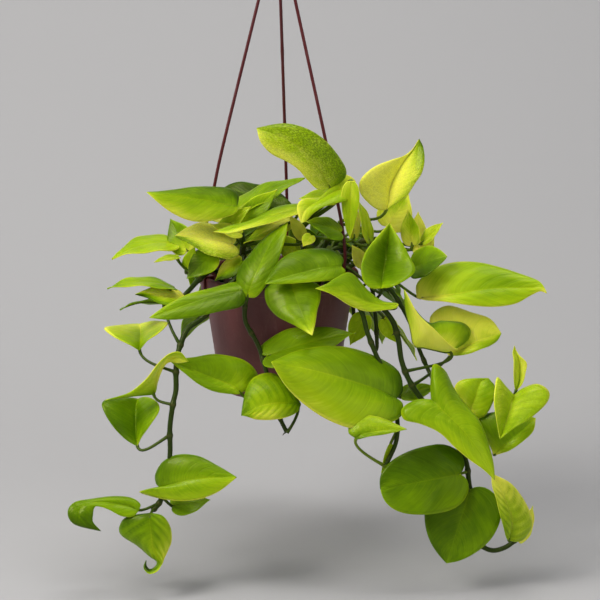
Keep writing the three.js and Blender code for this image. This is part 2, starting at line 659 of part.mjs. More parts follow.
        [[224, -136, -107], [233, -134, -103], [250, -124, -114]],
        [[220, -141, -92], [229, -140, -88], [248, -128, -96]],
        [[216, -145, -77], [223, -145, -73], [240, -134, -77]],
        [[212, -148, -64], [217, -148, -60], [228, -142, -61]],
      ]),
      leaf("far_shell", 18, [243, -112, -131], [257, -104, -98], [0.7, -0.6, 0.3], 0.6, 15, 10),
    ],
  },
  vine_right_outer: {
    radius: 1.9,
    turns: 1.6,
    route: [
      [56, -4, 86], [66, -6, 122], [88, -8, 130], [114, -20, 108], [134, -32, 76], [145, -42, 46],
      [160, -62, 18], [180, -84, -2], [199, -90, -14], [220, -93, -20], [232, -95, -2], [236, -96, 13],
    ],
    leaves: [
      drawn("round_olive", 7.6, [189, -96, -10], [212, -77, 28], [
        [[179, -97, -1], [194, -92, 0], [207, -97, -6]],
        [[176, -92, 17], [199, -86, 13], [217, -91, 10]],
        [[184, -85, 28], [205, -80, 23], [218, -83, 20]],
      ]),
      drawn("wing_right", 10.6, [236, -102, 17], [220, -136, -19], [
        [[244, -100, 23], [234, -107, 13], [227, -108, 28]],
        [[259, -104, 29], [232, -112, 9], [218, -112, 38]],
        [[270, -110, 23], [230, -117, 3], [215, -120, 28]],
        [[267, -118, 13], [227, -122, -4], [214, -128, 16]],
        [[250, -128, 0], [224, -127, -10], [216, -133, 1]],
        [[234, -134, -8], [222, -131, -15], [218, -135, -10]],
      ]),
      drawn("rolled_young", 11, [238, -96, 19], [236, -94, 66], [
        [[236, -100, 28], [241, -95, 28], [244, -100, 28]],
        [[235, -102, 41], [242, -95, 39], [247, -101, 39]],
        [[235, -101, 52], [241, -95, 50], [248, -101, 50]],
        [[234, -98, 60], [238, -95, 59], [240, -98, 58]],
      ]),
      drawn("dark_scoop", 9, [217, -104, -45], [259, -94, -9], [
        [[210, -100, -30], [222, -106, -39], [226, -108, -41]],
        [[200, -94, -10], [228, -106, -33], [234, -110, -37]],
        [[213, -92, -4], [236, -105, -26], [246, -110, -28]],
        [[235, -92, -3], [248, -101, -17], [256, -104, -19]],
      ]),
    ],
  },
  vine_right_upper: {
    radius: 2,
    route: [[36, -10, 86], [44, -16, 122], [56, -22, 140], [72, -30, 146]],
    leaves: [
      drawn("long_right", 2.9, [140, -54, 106], [267, -77, 119], [
        [[141, -44, 119], [151, -56, 107], [150, -58, 104]],
        [[158, -36, 133], [165, -59, 109], [164, -63, 104]],
        [[179, -36, 139], [182, -62, 112], [181, -68, 103]],
        [[202, -44, 140], [202, -65, 116], [201, -73, 102]],
        [[224, -54, 137], [223, -68, 119], [221, -76, 102]],
        [[242, -62, 133], [242, -71, 120], [239, -76, 105]],
        [[257, -70, 129], [256, -74, 121], [253, -75, 112]],
      ]),
      drawn("shield", 1.7, [103, -82, 122], [112, -48, 182], [
        [[93, -88, 123], [104, -72, 127], [113, -92, 126]],
        [[85, -86, 131], [106, -62, 135], [127, -90, 132]],
        [[83, -80, 144], [108, -56, 146], [137, -80, 140]],
        [[88, -72, 158], [109, -52, 158], [132, -68, 151]],
        [[98, -62, 169], [111, -50, 169], [123, -58, 166]],
      ]),
    ],
  },
  crown_left: {
    radius: 2,
    route: [[-40, 6, 86], [-48, 2, 122], [-58, -2, 144], [-70, -8, 150]],
    leaves: [
      drawn("wide_top_left", 2.4, [-41, -56, 200], [-130, -80, 219], [
        [[-42, -58, 194], [-48, -57, 202], [-40, -46, 209]],
        [[-56, -64, 190], [-58, -60, 204], [-49, -44, 216]],
        [[-74, -70, 187], [-72, -64, 208], [-66, -48, 219]],
        [[-90, -75, 190], [-87, -69, 211], [-84, -56, 220]],
        [[-106, -79, 199], [-103, -74, 214], [-102, -66, 219]],
        [[-120, -81, 210], [-117, -78, 217], [-117, -74, 219]],
      ]),
      leaf("shade_top", 1.6, [2, 24, 184], [-57, 34, 203], [0, -0.55, 0.83], 0.68, 14, 6, { blunt: 0.6 }),
      leaf("mottled_left", 2.6, [-46, -52, 161], [-102, -76, 174], [0, -0.6, 0.8], 0.78, 18, 6,
        { blunt: 0.2 }),
      leaf("drooping_left", 3, [-109, -24, 156], [-168, -46, 144], [0, -0.32, 0.95], 0.6, 48, 8),
      leaf("side_shell", 2.8, [-93, -30, 151], [-110, -12, 179], [-0.5, -0.65, 0.55], 0.8, 15, 14),
    ],
  },
  crown_left_front: {
    radius: 2,
    route: [[-24, -18, 86], [-30, -26, 122], [-36, -34, 148], [-34, -38, 160]],
    leaves: [
      leaf("long_top", 2.8, [-41, -26, 193], [27, -6, 220], [0, -0.22, 0.97], 0.48, 20, 8),
      leaf("folded_top", 2.6, [-35, -40, 180], [-1, -32, 213], [0.3, -0.5, 0.8], 0.55, 14, 20),
      drawn("pale_strip", 2.4, [21, -48, 196], [-64, -80, 179], [
        [[22, -58, 193], [13, -50, 195], [21, -38, 200]],
        [[6, -64, 189], [0, -55, 192], [2, -40, 197]],
        [[-12, -70, 185], [-16, -61, 188], [-14, -46, 191]],
        [[-29, -76, 181], [-32, -68, 184], [-28, -54, 185]],
        [[-47, -80, 178], [-49, -74, 180], [-46, -64, 182]],
      ]),
      leaf("shade_left", 1.7, [-66, -66, 152], [-91, -78, 131], [-0.35, -0.85, 0.4], 0.85, 14, 10),
      leaf("gold_left", 1.8, [-37, -62, 146], [-63, -76, 128], [-0.2, -0.8, 0.5], 0.64, 12, 6),
      leaf("shade_mid", 2.2, [9, 2, 182], [-13, 12, 199], [0, -0.6, 0.8], 0.85, 12, 6),
    ],
  },
  crown_top: {
    radius: 2,
    route: [[8, -6, 86], [12, -8, 122], [18, -12, 154], [26, -16, 174]],
    leaves: [
      drawn("speckled_top", 3, [52, -54, 219], [-21, -66, 281], [
        [[40, -58, 218], [49, -57, 226], [64, -50, 225]],
        [[30, -64, 228], [43, -62, 237], [68, -50, 236]],
        [[21, -68, 239], [35, -66, 248], [59, -54, 253]],
        [[9, -70, 248], [24, -68, 259], [45, -58, 269]],
        [[-6, -71, 256], [10, -69, 269], [27, -60, 280]],
        [[-17, -71, 268], [-6, -68, 276], [5, -62, 285]],
      ]),
      drawn("lime_fold", 2.8, [70, -50, 214], [23, -81, 188], [
        [[74, -56, 211], [64, -52, 216], [78, -40, 222]],
        [[70, -62, 208], [57, -55, 215], [67, -40, 229]],
        [[59, -68, 206], [48, -61, 211], [54, -48, 221]],
        [[44, -74, 202], [37, -69, 206], [42, -60, 210]],
        [[35, -78, 197], [28, -76, 201], [25, -70, 210]],
        [[28, -80, 190], [24, -79, 194], [19, -77, 203]],
      ]),
      leaf("shade_crown", 2, [62, -60, 175], [28, -72, 188], [0, -0.55, 0.83], 0.82, 14, 6),
      leaf("small_lime", 1.8, [33, -64, 172], [25, -74, 163], [-0.1, -0.8, 0.5], 0.88, 10, 6),
      leaf("lime_back", 2.6, [61, -34, 206], [21, -44, 206], [0, -0.7, 0.7], 0.5, 16, 6),
    ],
  },
  crown_right: {
    radius: 2,
    route: [[30, 6, 86], [38, 2, 122], [50, -4, 154], [62, -8, 174]],
    leaves: [
      drawn("bright_upright", 3, [110, -26, 191], [142, -32, 265], [
        [[98, -34, 194], [112, -24, 200], [120, -34, 199]],
        [[83, -40, 210], [113, -24, 210], [130, -42, 209]],
        [[83, -42, 225], [116, -24, 220], [137, -46, 221]],
        [[96, -38, 237], [122, -26, 232], [144, -46, 232]],
        [[115, -34, 244], [129, -28, 244], [147, -42, 244]],
        [[131, -32, 249], [137, -30, 256], [146, -36, 256]],
      ]),
      leaf("bright_behind", 2.8, [113, -6, 171], [133, 4, 203], [0, -0.9, 0.4], 0.95, 12, 8),
      leaf("edge_strap", 2.2, [92, -40, 163], [80, -36, 204], [0.85, -0.5, 0.2], 0.5, 14, 10),
      leaf("lime_behind", 2, [77, -14, 166], [74, -6, 208], [0.3, -0.9, 0.3], 0.36, 14, 8),
    ],
  },
  crown_right_back: {
    radius: 1.9,
    route: [[50, 12, 86], [62, 8, 122], [78, 2, 148], [92, -4, 156]],
    leaves: [
      leaf("fan_right", 2.6, [137, -44, 135], [170, -56, 149], [0.1, -0.55, 0.8], 1.15, 14, 14,
        { blunt: 0.3 }),
      leaf("dark_upright", 2.6, [136, -22, 156], [132, -18, 189], [-0.75, -0.6, 0.3], 0.6, 12, 10),
      leaf("lime_upright", 2.9, [143, -6, 153], [143, 0, 184], [-0.2, -0.9, 0.3], 0.6, 12, 8),
      leaf("point_right", 3, [148, -22, 158], [167, -28, 178], [0, -0.6, 0.8], 0.55, 16, 12),
      leaf("green_right", 2.9, [143, -24, 143], [159, -18, 160], [0, -0.8, 0.6], 0.9, 12, 8),
    ],
  },
};

// Vines on the far side of the pot, by a rule: each falls over the rim in its own sector,
// with leaves to its left and right in turn
const BACK_VINES = { sectors: [20, 43, 64, 103, 126], seed: 7, seedStep: 97, radius: 2 };
const BACK_ROUTE = [[40, 86], [46, 122], [64, 142], [90, 130], [103, 98], [108, 62], [110, 28]];
const BACK_LEAVES = {
  count: 5,
  start: 1.6,
  spacing: 0.95,
  length: 66,
  lengthSpread: [0.85, 1.05],
  outward: 12,
  stagger: 12,
  aside: 6,
  above: 15,
  fallOutward: 0.5,
  fallAside: [0.05, 0.22],
  fallDown: [0.6, 0.8],
  faceOutward: 0.8,
  faceUp: 0.6,
  width: 0.64,
  bend: 22,
  fold: 8,
};

// Random draws from a seed, so that each run gives the same plant
function dice(seed) {
  let state = seed;
  return (low, high) => {
    state = (state * 16807) % 2147483647;
    return low + ((high - low) * state) / 2147483647;
  };
}

function backVine(index) {
  const draw = dice(BACK_VINES.seed + BACK_VINES.seedStep * index);
  const azimuth = radians(BACK_VINES.sectors[index]);
  const outward = vec([Math.cos(azimuth), Math.sin(azimuth), 0]);
  const sideways = vec([-Math.sin(azimuth), Math.cos(azimuth), 0]);
  const route = BACK_ROUTE.map(([out, height]) => {
    const point = outward.clone().multiplyScalar(out);
    return [point.x, point.y, height];
  });
  const stem = curveThrough(route);
  const leaves = [];
  for (let number = 0; number < BACK_LEAVES.count; number++) {
    const at = BACK_LEAVES.start + BACK_LEAVES.spacing * number;
    const hand = number % 2 ? -1 : 1;
    const length = BACK_LEAVES.length * draw(...BACK_LEAVES.lengthSpread);
    const base = stem.getPoint(at / (route.length - 1));
    base.addScaledVector(outward, BACK_LEAVES.outward + BACK_LEAVES.stagger * (index % 2));
    base.addScaledVector(sideways, hand * BACK_LEAVES.aside);
    base.z += BACK_LEAVES.above;
    const fall = outward.clone().multiplyScalar(BACK_LEAVES.fallOutward);
    fall.addScaledVector(sideways, hand * draw(...BACK_LEAVES.fallAside));
    fall.z = -draw(...BACK_LEAVES.fallDown);
    const tip = base.clone().addScaledVector(fall.normalize(), length);
    const face = outward.clone().multiplyScalar(BACK_LEAVES.faceOutward);
    face.z = BACK_LEAVES.faceUp;
    const { width, bend, fold } = BACK_LEAVES;
    const name = `back_${index}_${number}`;
    leaves.push(leaf(name, at, base.toArray(), tip.toArray(), face.toArray(), width, bend, fold));
  }
  return { radius: BACK_VINES.radius, route, leaves };
}

const plants = { ...VINES };
BACK_VINES.sectors.forEach((sector, index) => { plants[`vine_back_${index + 1}`] = backVine(index); });

// A vine is its stem with the petioles and blades that grow from it, in one body
function vineBody({ radius, route, leaves, turns = 1 }) {
  const stem = curveThrough(route);
  const steps = Math.ceil(turns * STEM_STEPS_PER_POINT * (route.length - 1));
  const bodies = [solid(bar(stem, radius, STEM_SIDES, steps))];
  for (const each of leaves) bodies.push(...leafBodies(stem, route.length, each));
  return joined(bodies);
}

// Soil: fills the pot to just below its lip, with a plain hole for each stem
function soilBody() {
  const edge = (height) => innerRadius(height) - FACET_GAP;
  const floor = POT_FLOOR + GAP;
  const outline = [
    [0, floor],
    [edge(floor), floor],
    [edge(SOIL_EDGE_HEIGHT), SOIL_EDGE_HEIGHT],
    [SOIL_CROWN_RADIUS, SOIL_CROWN_HEIGHT],
    [0, SOIL_CROWN_HEIGHT],
  ];
  let soil = solid(turned(outline, POT_SIDES));
  for (const { radius, route } of Object.values(plants)) {
    const stem = curveThrough(route);
    const [low, high] = [0, 1 / (route.length - 1)].map((t) => stem.getPoint(t));
    low.z -= HOLE_BOTTOM_GAP;
    const hole = bar(new THREE.LineCurve3(low, high), HOLE_OVERSIZE * radius, HOLE_SIDES, 1);
    soil = soil.subtract(solid(hole));
  }
  return soil;
}

// Colours, roughness and metalness of the sub-parts
const FINISHES = {
  plastic: { color: 0x5e2f31, roughness: 0.5, metalness: 0 },
  soil: { color: 0x2b1d14, roughness: 1, metalness: 0 },
  leaf: { color: 0x86b41c, roughness: 0.4, metalness: 0 },
};

const hangingPlant = new THREE.Group();
hangingPlant.position.z = -SEAT_HEIGHT;

function addPiece(name, body, finish) {
  const mesh = new THREE.Mesh(geometryOf(body), new THREE.MeshStandardMaterial(FINISHES[finish]));
  mesh.name = name;
  hangingPlant.add(mesh);
}

addPiece("pot", potBody(), "plastic");
addPiece("soil", soilBody(), "soil");
addPiece("hook_hub", hubBody(), "plastic");
for (const [name, angle] of Object.entries(ARM_PLAN_ANGLES)) addPiece(name, armBody(angle), "plastic");
for (const [name, plant] of Object.entries(plants)) addPiece(name, vineBody(plant), "leaf");

const pottedPlant = new THREE.Group();
pottedPlant.add(hangingPlant);

export default pottedPlant;
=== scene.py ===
# Looks of the potted golden pothos in its hanging pot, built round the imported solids.
# Rows of sizes are in millimetres in the pot's own frame: the middle of its base is 0, 0, 0,
# +X is right, +Y is away from the viewer and +Z is up. metres() turns them into the frame's.
import math

import bpy
import numpy as np
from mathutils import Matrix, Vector, noise


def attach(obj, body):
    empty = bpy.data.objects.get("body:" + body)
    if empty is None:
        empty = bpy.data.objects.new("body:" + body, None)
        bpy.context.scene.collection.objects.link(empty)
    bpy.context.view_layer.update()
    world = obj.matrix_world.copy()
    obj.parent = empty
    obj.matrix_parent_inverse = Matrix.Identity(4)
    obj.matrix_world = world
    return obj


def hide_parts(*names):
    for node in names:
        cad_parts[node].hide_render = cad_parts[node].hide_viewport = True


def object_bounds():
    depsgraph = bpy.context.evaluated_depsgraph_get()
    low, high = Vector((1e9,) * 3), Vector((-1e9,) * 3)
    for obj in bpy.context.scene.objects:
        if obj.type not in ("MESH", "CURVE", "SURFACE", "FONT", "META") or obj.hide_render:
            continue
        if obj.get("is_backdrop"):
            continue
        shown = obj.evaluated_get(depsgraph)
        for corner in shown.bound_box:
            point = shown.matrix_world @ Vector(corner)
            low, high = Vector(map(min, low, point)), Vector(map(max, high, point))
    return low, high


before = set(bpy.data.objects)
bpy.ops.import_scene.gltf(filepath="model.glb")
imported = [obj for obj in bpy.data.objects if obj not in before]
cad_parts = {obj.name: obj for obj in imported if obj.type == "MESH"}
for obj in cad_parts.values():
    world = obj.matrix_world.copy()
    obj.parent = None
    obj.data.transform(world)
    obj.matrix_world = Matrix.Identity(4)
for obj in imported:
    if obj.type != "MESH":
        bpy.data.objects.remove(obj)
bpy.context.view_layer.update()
bpy.ops.object.select_all(action="DESELECT")

SEAT_HEIGHT = 513.5

# The pot, as its solid has it
POT_HEIGHT = 122
RIM_RADIUS = 82.5
LIP_UNDERSIDE = 112
WALL_TOP_RADIUS = 77.5
BASE_RADIUS = 61
POT_WALL = 2
POT_FLOOR = 3
DRAIN_RADIUS = 3.5
DRAIN_CIRCLE = 34
DRAIN_COUNT = 5
TAPER = (WALL_TOP_RADIUS - BASE_RADIUS) / LIP_UNDERSIDE

# The hanger, as its solids have it, but its strands a tenth thicker, as the photo has them
ARM_RADIUS = 1.65
ARM_PLAN_ANGLES = {"hanger_arm_back": 84, "hanger_arm_left": 204, "hanger_arm_right": 324}
ARM_ROUTE = [(80.5, 124), (83.5, 148), (80, 176), (71.5, 212), (60.5, 258), (21.2, 402), (7.9, 454),
             (6.6, 461)]
ARM_NUBS = {"hanger_arm_back": [262, 342], "hanger_arm_left": [], "hanger_arm_right": []}
CLIP_WIDTH = 9
CLIP_GAP = 0.35
HUB_BASE_HEIGHT = 456
HUB_TOP_HEIGHT = 476
HOOK_BEND_RADIUS = 14
HOOK_CENTRE_HEIGHT = 502
HOOK_WIRE_RADIUS = 2.5
HOOK_ANGLES = [-42, -15, 15, 45, 75, 105, 135, 165, 190, 210]
HOOK_END_RADII = [2.75, 2.85, 2.8, 2.6, 2.2, 1.6, 0.8]

# The blades: an outline from base to tip, in shares of the length along and of the half width across
BLADE_ROWS = 48
BLADE_COLUMNS = 20
BLADE_THICKNESS = 0.8
RIB_PIECES = 96
LOBE_ROW_SHARE = 0.2
LOBE_RIB_SHARE = 0.16
LOBE = [(0, 0), (-0.2, 0.25), (-0.05, 1), (0.27, 1)]
SHARP_POINT = [(0.27, 1), (0.6, 1), (0.8, 0.3), (1, 0)]
BLUNT_POINT = [(0.27, 1), (0.66, 1), (1.02, 0.75), (1, 0)]
VEIN_COUNT = 9
VEIN_LEAN = 0.24
VEIN_CURVE = 1.3
MARGIN_CROWDING = 1.25

# The stems, as shares of their solids' radii, the joints along them, and the stalks. Both turn paler
# between the two heights in the crown.
STEM_FOOT_SHARE = 1.26
STEM_TAPER = 0.2
STEM_END = [0.9, 0.7, 0.35]
FIRST_BARE_JOINT = 46
LAST_BARE_JOINT = 12
BARE_JOINT_SPACING = 34
JOINT_GAP = 16
JOINT_SWELLING = 0.34
JOINT_LENGTH = 2.6
NUB_RADII = [0.95, 0.85, 0.7, 0.5, 0.2]
NUB_TONE = 0.02
STALK_RADIUS = 1.5
STALK_STEPS = 18
STALK_END_SHARE = 0.06
UNDER_RIB_STEPS = 14
CROWN_HEIGHTS = (125, 165)
CROWN_TONE = 0.2

# The soil
SOIL_EDGE_HEIGHT = 106
SOIL_CROWN = 4
SOIL_BITS = 150

VINES = {}
COMMON_LOOK = dict(mottle=0, shade=0, ribs=0.0008, lean=(0, 0, 0), stalk=0)


def leaf(name, at, base, tip, face, width, bend, fold, tone, **more):
    """One leaf by the common outline: the point of the route it leaves, its blade's base and tip, the way
    its upper face looks, its width over its length, bend and fold in degrees, and tone, dark to yellow.
    More can blunt its point, shorten its lobes, mottle it, darken its middle, raise its side-vein ridges,
    which also paints them paler as highlights, or light its stalk. Its tone holds painted light and shade
    besides its own colour. Lean is how its tone changes towards the tip, towards its left margin and in the
    middle: painted light and shade, cast shadows among them, along with the leaf's own changes of tone."""
    row = dict(name=name, at=at, base=base, tip=tip, face=face, width=width, bend=bend, fold=fold, tone=tone,
               blunt=0, lobe=1, wave=0.014, crown=0.12, **COMMON_LOOK)
    return row | more


def drawn(name, at, tone, base, tip, *sections, **more):
    """A leaf that is curled or folded its own way: from base to tip, rows of nine numbers, three each for
    its left margin, its midrib and its right margin, as its upper face is looked at."""
    row = dict(name=name, at=at, tone=tone, base=base, tip=tip, sections=sections, wave=0.008, crown=0.1,
               **COMMON_LOOK)
    return row | more


def vine(name, radius, route, *leaves):
    """One stem: its radius, the points that it runs through from the soil on, and its leaves."""
    VINES[name] = dict(radius=radius, route=route, leaves=leaves)


vine("vine_left_long", 2.3, [
    (-30, -36, 86), (-36, -52, 122), (-45, -78, 128), (-73, -86, 95), (-89, -93, 84), (-96, -100, 71),
    (-100, -108, 58), (-101, -115, 44), (-101, -120, 27), (-104, -124, 13), (-107, -128, -10),
    (-107, -130, -34), (-110, -129, -61), (-117, -130, -84), (-126, -133, -95)],
    drawn("yellow_cup", 7, 0.78, (-138, -102, 63), (-140, -50, 78),
        (-149, -106, 71, -138, -92, 69, -130, -104, 73),
        (-164, -102, 78, -138, -76, 74, -119, -100, 80),
        (-173, -94, 83, -139, -64, 77, -110, -88, 88),
        (-167, -80, 83, -140, -58, 78, -119, -74, 86),
        (-154, -66, 81, -140, -53, 78, -128, -64, 84), crown=0.02, lean=(0.4, 0, 0.25)),
    leaf("low_left", 5.2, (-114, -78, 106), (-157, -96, 103), (0, 0.45, 0.9), 0.5, 45, 8, 0.29),
    drawn("swept_back", 9, 0.78, (-123, -118, 22), (-88, -123, 57),
        (-146, -126, 22, -123, -118, 26, -121, -116, 25),
        (-171, -132, 20, -122, -118, 31, -120, -114, 30),
        (-149, -130, 26, -121, -117, 37, -119, -113, 35),
        (-130, -127, 40, -120, -116, 45, -117, -112, 41),
        (-118, -126, 56, -116, -117, 52, -113, -114, 49),
        (-107, -126, 66, -109, -119, 59, -107, -118, 55),
        (-96, -125, 67, -99, -121, 60, -98, -120, 55), lean=(0.4, -0.15, 0.35)),
    drawn("left_cup", 10.3, 0.4, (-140, -124, -30), (-141, -86, 9),
        (-151, -127, -22, -141, -119, -22, -135, -127, -19),
        (-163, -127, -9, -142, -111, -12, -127, -130, -7),
        (-173, -121, 6, -142, -103, -3, -118, -126, 6),
        (-174, -112, 13, -142, -95, 4, -119, -115, 12),
        (-160, -96, 12, -141, -90, 8, -129, -100, 14), lean=(0.1, -0.15, -0.3)),
    drawn("spear_right", 12, 0.48, (-116, -136, -69), (-40, -153, -53),
        (-121, -132, -66, -114, -136, -68, -127, -132, -73),
        (-122, -130, -57, -109, -138, -66, -138, -128, -76),
        (-114, -130, -44, -100, -141, -63, -122, -136, -79),
        (-99, -132, -36, -89, -144, -59, -101, -144, -80),
        (-79, -137, -36, -75, -147, -56, -80, -150, -77),
        (-59, -144, -44, -58, -150, -54, -59, -153, -68), lean=(0.05, -0.25, -0.1)),
    drawn("hooked_tip", 13.2, 0.36, (-138, -142, -91), (-175, -152, -109),
        (-144, -146, -96, -149, -140, -87, -137, -138, -85),
        (-155, -147, -95, -163, -140, -84, -147, -134, -80),
        (-168, -147, -88, -176, -142, -82, -165, -133, -79),
        (-179, -147, -85, -190, -146, -83, -186, -138, -80),
        (-182, -148, -87, -196, -149, -88, -202, -144, -82),
        (-183, -150, -92, -196, -152, -93, -208, -149, -91),
        (-183, -151, -100, -189, -153, -101, -201, -152, -102), lean=(-0.4, 0, 0.3)),
    drawn("ring_tip", 13.7, 0.39, (-126, -146, -92), (-131, -150, -140),
        (-114, -144, -96, -127, -150, -98, -149, -142, -97),
        (-107, -142, -108, -126, -152, -107, -157, -141, -106),
        (-106, -142, -122, -125, -152, -116, -156, -142, -116),
        (-110, -143, -133, -124, -151, -127, -140, -143, -127),
        (-113, -146, -139, -120, -151, -136, -128, -144, -138),
        (-115, -151, -144, -117, -152, -142, -121, -145, -143),
        (-120, -155, -150, -121, -150, -150, -123, -145, -149),
        (-128, -155, -152, -128, -150, -152, -128, -146, -151),
        (-133, -154, -146, -133, -150, -147, -131, -147, -147), lean=(-0.25, 0.25, 0.65), ribs=0.01),
    leaf("under_spear", 12.8, (-104, -122, -92), (-68, -116, -88), (0, -0.6, 0.8), 0.8, 16, 8, 0.4,
         lean=(-0.05, 0, 0.05)))

vine("vine_left_short", 2.2, [
    (-52, -14, 86), (-60, -24, 122), (-66, -46, 133), (-79, -58, 126), (-90, -68, 116), (-99, -76, 108),
    (-107, -80, 106)],
    leaf("long_left", 5.6, (-107, -80, 123), (-169, -98, 125), (0, -0.12, 1), 0.46, 45, 8, 0.54,
         lean=(0.1, 0, 0.25)),
    leaf("bright_left", 4.8, (-97, -84, 111), (-141, -100, 120), (0.1, -0.5, 0.85), 0.62, 20, 10, 0.78,
         lean=(-0.6, -0.7, 0.7)),
    leaf("thin_left", 3, (-101, -58, 149), (-124, -70, 146), (0, -0.3, 0.95), 0.45, 20, 12, 0.76))

vine("vine_front_left", 2, [
    (-22, -48, 86), (-27, -64, 124), (-31, -90, 120), (-33, -92, 105), (-32, -91, 89), (-23, -90, 72),
    (-18, -92, 61), (-12, -98, 42), (-6, -108, 19), (2, -118, -2), (9, -122, -16)],
    drawn("long_spear", 2.6, 0.38, (-35, -94, 123), (-126, -130, 103),
        (-32, -98, 115, -40, -95, 122, -33, -86, 127),
        (-37, -106, 109, -51, -99, 120, -45, -84, 128),
        (-55, -114, 106, -67, -105, 118, -65, -92, 125),
        (-74, -121, 103, -84, -112, 114, -84, -102, 122),
        (-95, -126, 101, -100, -119, 110, -100, -113, 117),
        (-111, -129, 101, -115, -125, 106, -115, -122, 110), lean=(0.4, -0.15, -0.1)),
    drawn("wide_left", 9, 0.51, (-37, -112, 22), (-108, -114, 56),
        (-40, -114, 21, -42, -112, 27, -22, -100, 27),
        (-49, -116, 22, -52, -111, 32, -21, -98, 39),
        (-65, -119, 26, -64, -112, 37, -35, -100, 53),
        (-80, -120, 34, -77, -114, 43, -62, -105, 60),
        (-92, -120, 44, -90, -115, 49, -84, -110, 58), lean=(-0.25, 0, -0.1)),
    # Its painted pale ridges are highlights on its glossy ribbed blade.
    drawn("ribbed_front", 10, 0.5, (23, -118, 12), (-36, -142, 7),
        (19, -122, 5, 14, -120, 14, 15, -108, 23),
        (7, -128, 1, 3, -124, 15, 3, -102, 36),
        (-8, -134, 0, -9, -129, 15, -11, -102, 40),
        (-21, -138, 2, -20, -134, 13, -25, -110, 36),
        (-29, -140, 5, -28, -138, 10, -32, -124, 26), ribs=0.008, lean=(0.3, 0.15, 0.6)),
    leaf("under_front", 6.5, (-9, -98, 57), (78, -89, 78), (0, -0.6, 0.8), 0.52, 20, 8, 0.45,
         lean=(0.1, 0, 0.05)),
    drawn("upright_blade", 3, 0.45, (-30, -95, 116), (10, -58, 185),
        (-37, -92, 117, -28, -96, 124, -21, -98, 117),
        (-41, -86, 127, -24, -94, 134, -12, -98, 128),
        (-39, -78, 140, -18, -88, 146, -4, -94, 141),
        (-29, -70, 154, -11, -79, 159, 3, -84, 157),
        (-14, -62, 169, -2, -68, 172, 8, -70, 173), lean=(-0.1, -0.05, -0.45)))

vine("vine_front", 2, [(6, -38, 86), (10, -54, 122), (14, -66, 136)],
    drawn("broad_front", 1.9, 0.38, (63, -84, 145), (-13, -117, 134),
        (67, -90, 140, 56, -88, 145, 65, -74, 150),
        (59, -98, 135, 45, -93, 145, 54, -68, 158),
        (42, -106, 134, 31, -99, 143, 37, -72, 161),
        (24, -112, 134, 17, -106, 141, 18, -84, 160),
        (7, -115, 134, 3, -111, 138, 3, -96, 154),
        (-5, -116, 134, -7, -114, 136, -7, -108, 143), lean=(0.1, 0.15, 0)),
    drawn("heart_down", 1.4, 0.55, (13, -98, 131), (34, -138, 87),
        (28, -96, 133, 15, -104, 126, -3, -94, 132),
        (41, -98, 128, 18, -111, 119, -12, -96, 125),
        (42, -106, 117, 22, -118, 110, -11, -104, 112),
        (39, -116, 107, 26, -126, 102, -1, -116, 102),
        (37, -127, 97, 30, -132, 94, 16, -127, 95), lean=(0.25, 0.15, -0.55)))

vine("vine_right_mid", 2.1, [
    (24, -42, 86), (36, -56, 124), (62, -76, 128), (75, -88, 114), (84, -92, 99), (89, -97, 81),
    (98, -100, 58), (110, -104, 33), (118, -112, 4), (118, -124, -23), (107, -132, -48)],
    drawn("big_front", 7.6, 0.48, (118, -116, 17), (-6, -152, 64),
        (124, -120, 12, 112, -117, 20, 124, -106, 23),
        (122, -127, 2, 101, -119, 26, 120, -98, 40),
        (105, -136, -4, 85, -123, 33, 102, -98, 54),
        (79, -144, -7, 65, -129, 41, 74, -108, 67),
        (50, -148, 4, 44, -136, 49, 46, -117, 71),
        (24, -150, 23, 22, -143, 56, 20, -127, 69),
        (6, -151, 42, 6, -148, 60, 5, -140, 66), lean=(0.55, 0.15, 0.2)),
    drawn("folded_low", 10, 0.53, (77, -150, -14), (127, -153, -4),
        (70, -146, -9, 82, -151, -10, 80, -153, -14),
        (73, -140, 1, 90, -152, -8, 90, -155, -11),
        (88, -140, 6, 101, -153, -6, 101, -156, -9),
        (105, -144, 4, 112, -153, -5, 113, -155, -7), lean=(0.35, 0.1, 0.15), stalk=0.35, mottle=0.3),
    drawn("tongue_mid", 3.5, 0.62, (120, -97, 109), (37, -128, 132),
        (117, -101, 106, 112, -99, 109, 116, -94, 110),
        (106, -107, 105, 101, -104, 110, 103, -95, 113),
        (89, -115, 106, 87, -110, 115, 89, -97, 123),
        (72, -121, 113, 71, -116, 124, 72, -98, 141),
        (57, -126, 123, 58, -122, 128, 57, -112, 139),
        (47, -129, 129, 48, -126, 131, 48, -122, 135), lean=(-0.1, 0.15, -0.1)),
    leaf("dark_gap", 7.4, (125, -92, 14), (159, -76, 19), (0, -0.5, 0.85), 0.6, 15, 8, 0.5),
    leaf("hanging_bud", 8.6, (112, -126, -29), (103, -128, -56), (0.2, -0.95, 0.1), 0.26, 6, 24, 0.64,
         stalk=0.3),
    leaf("deep_stem_right", 2.6, (108, -46, 81), (122, -52, 58), (-0.2, -0.9, 0.3), 0.7, 12, 6, 0.69),
    leaf("deep_stem_left", 2.3, (87, -46, 85), (73, -50, 56), (0.1, -0.95, 0.2), 0.72, 12, 6, 0.68))

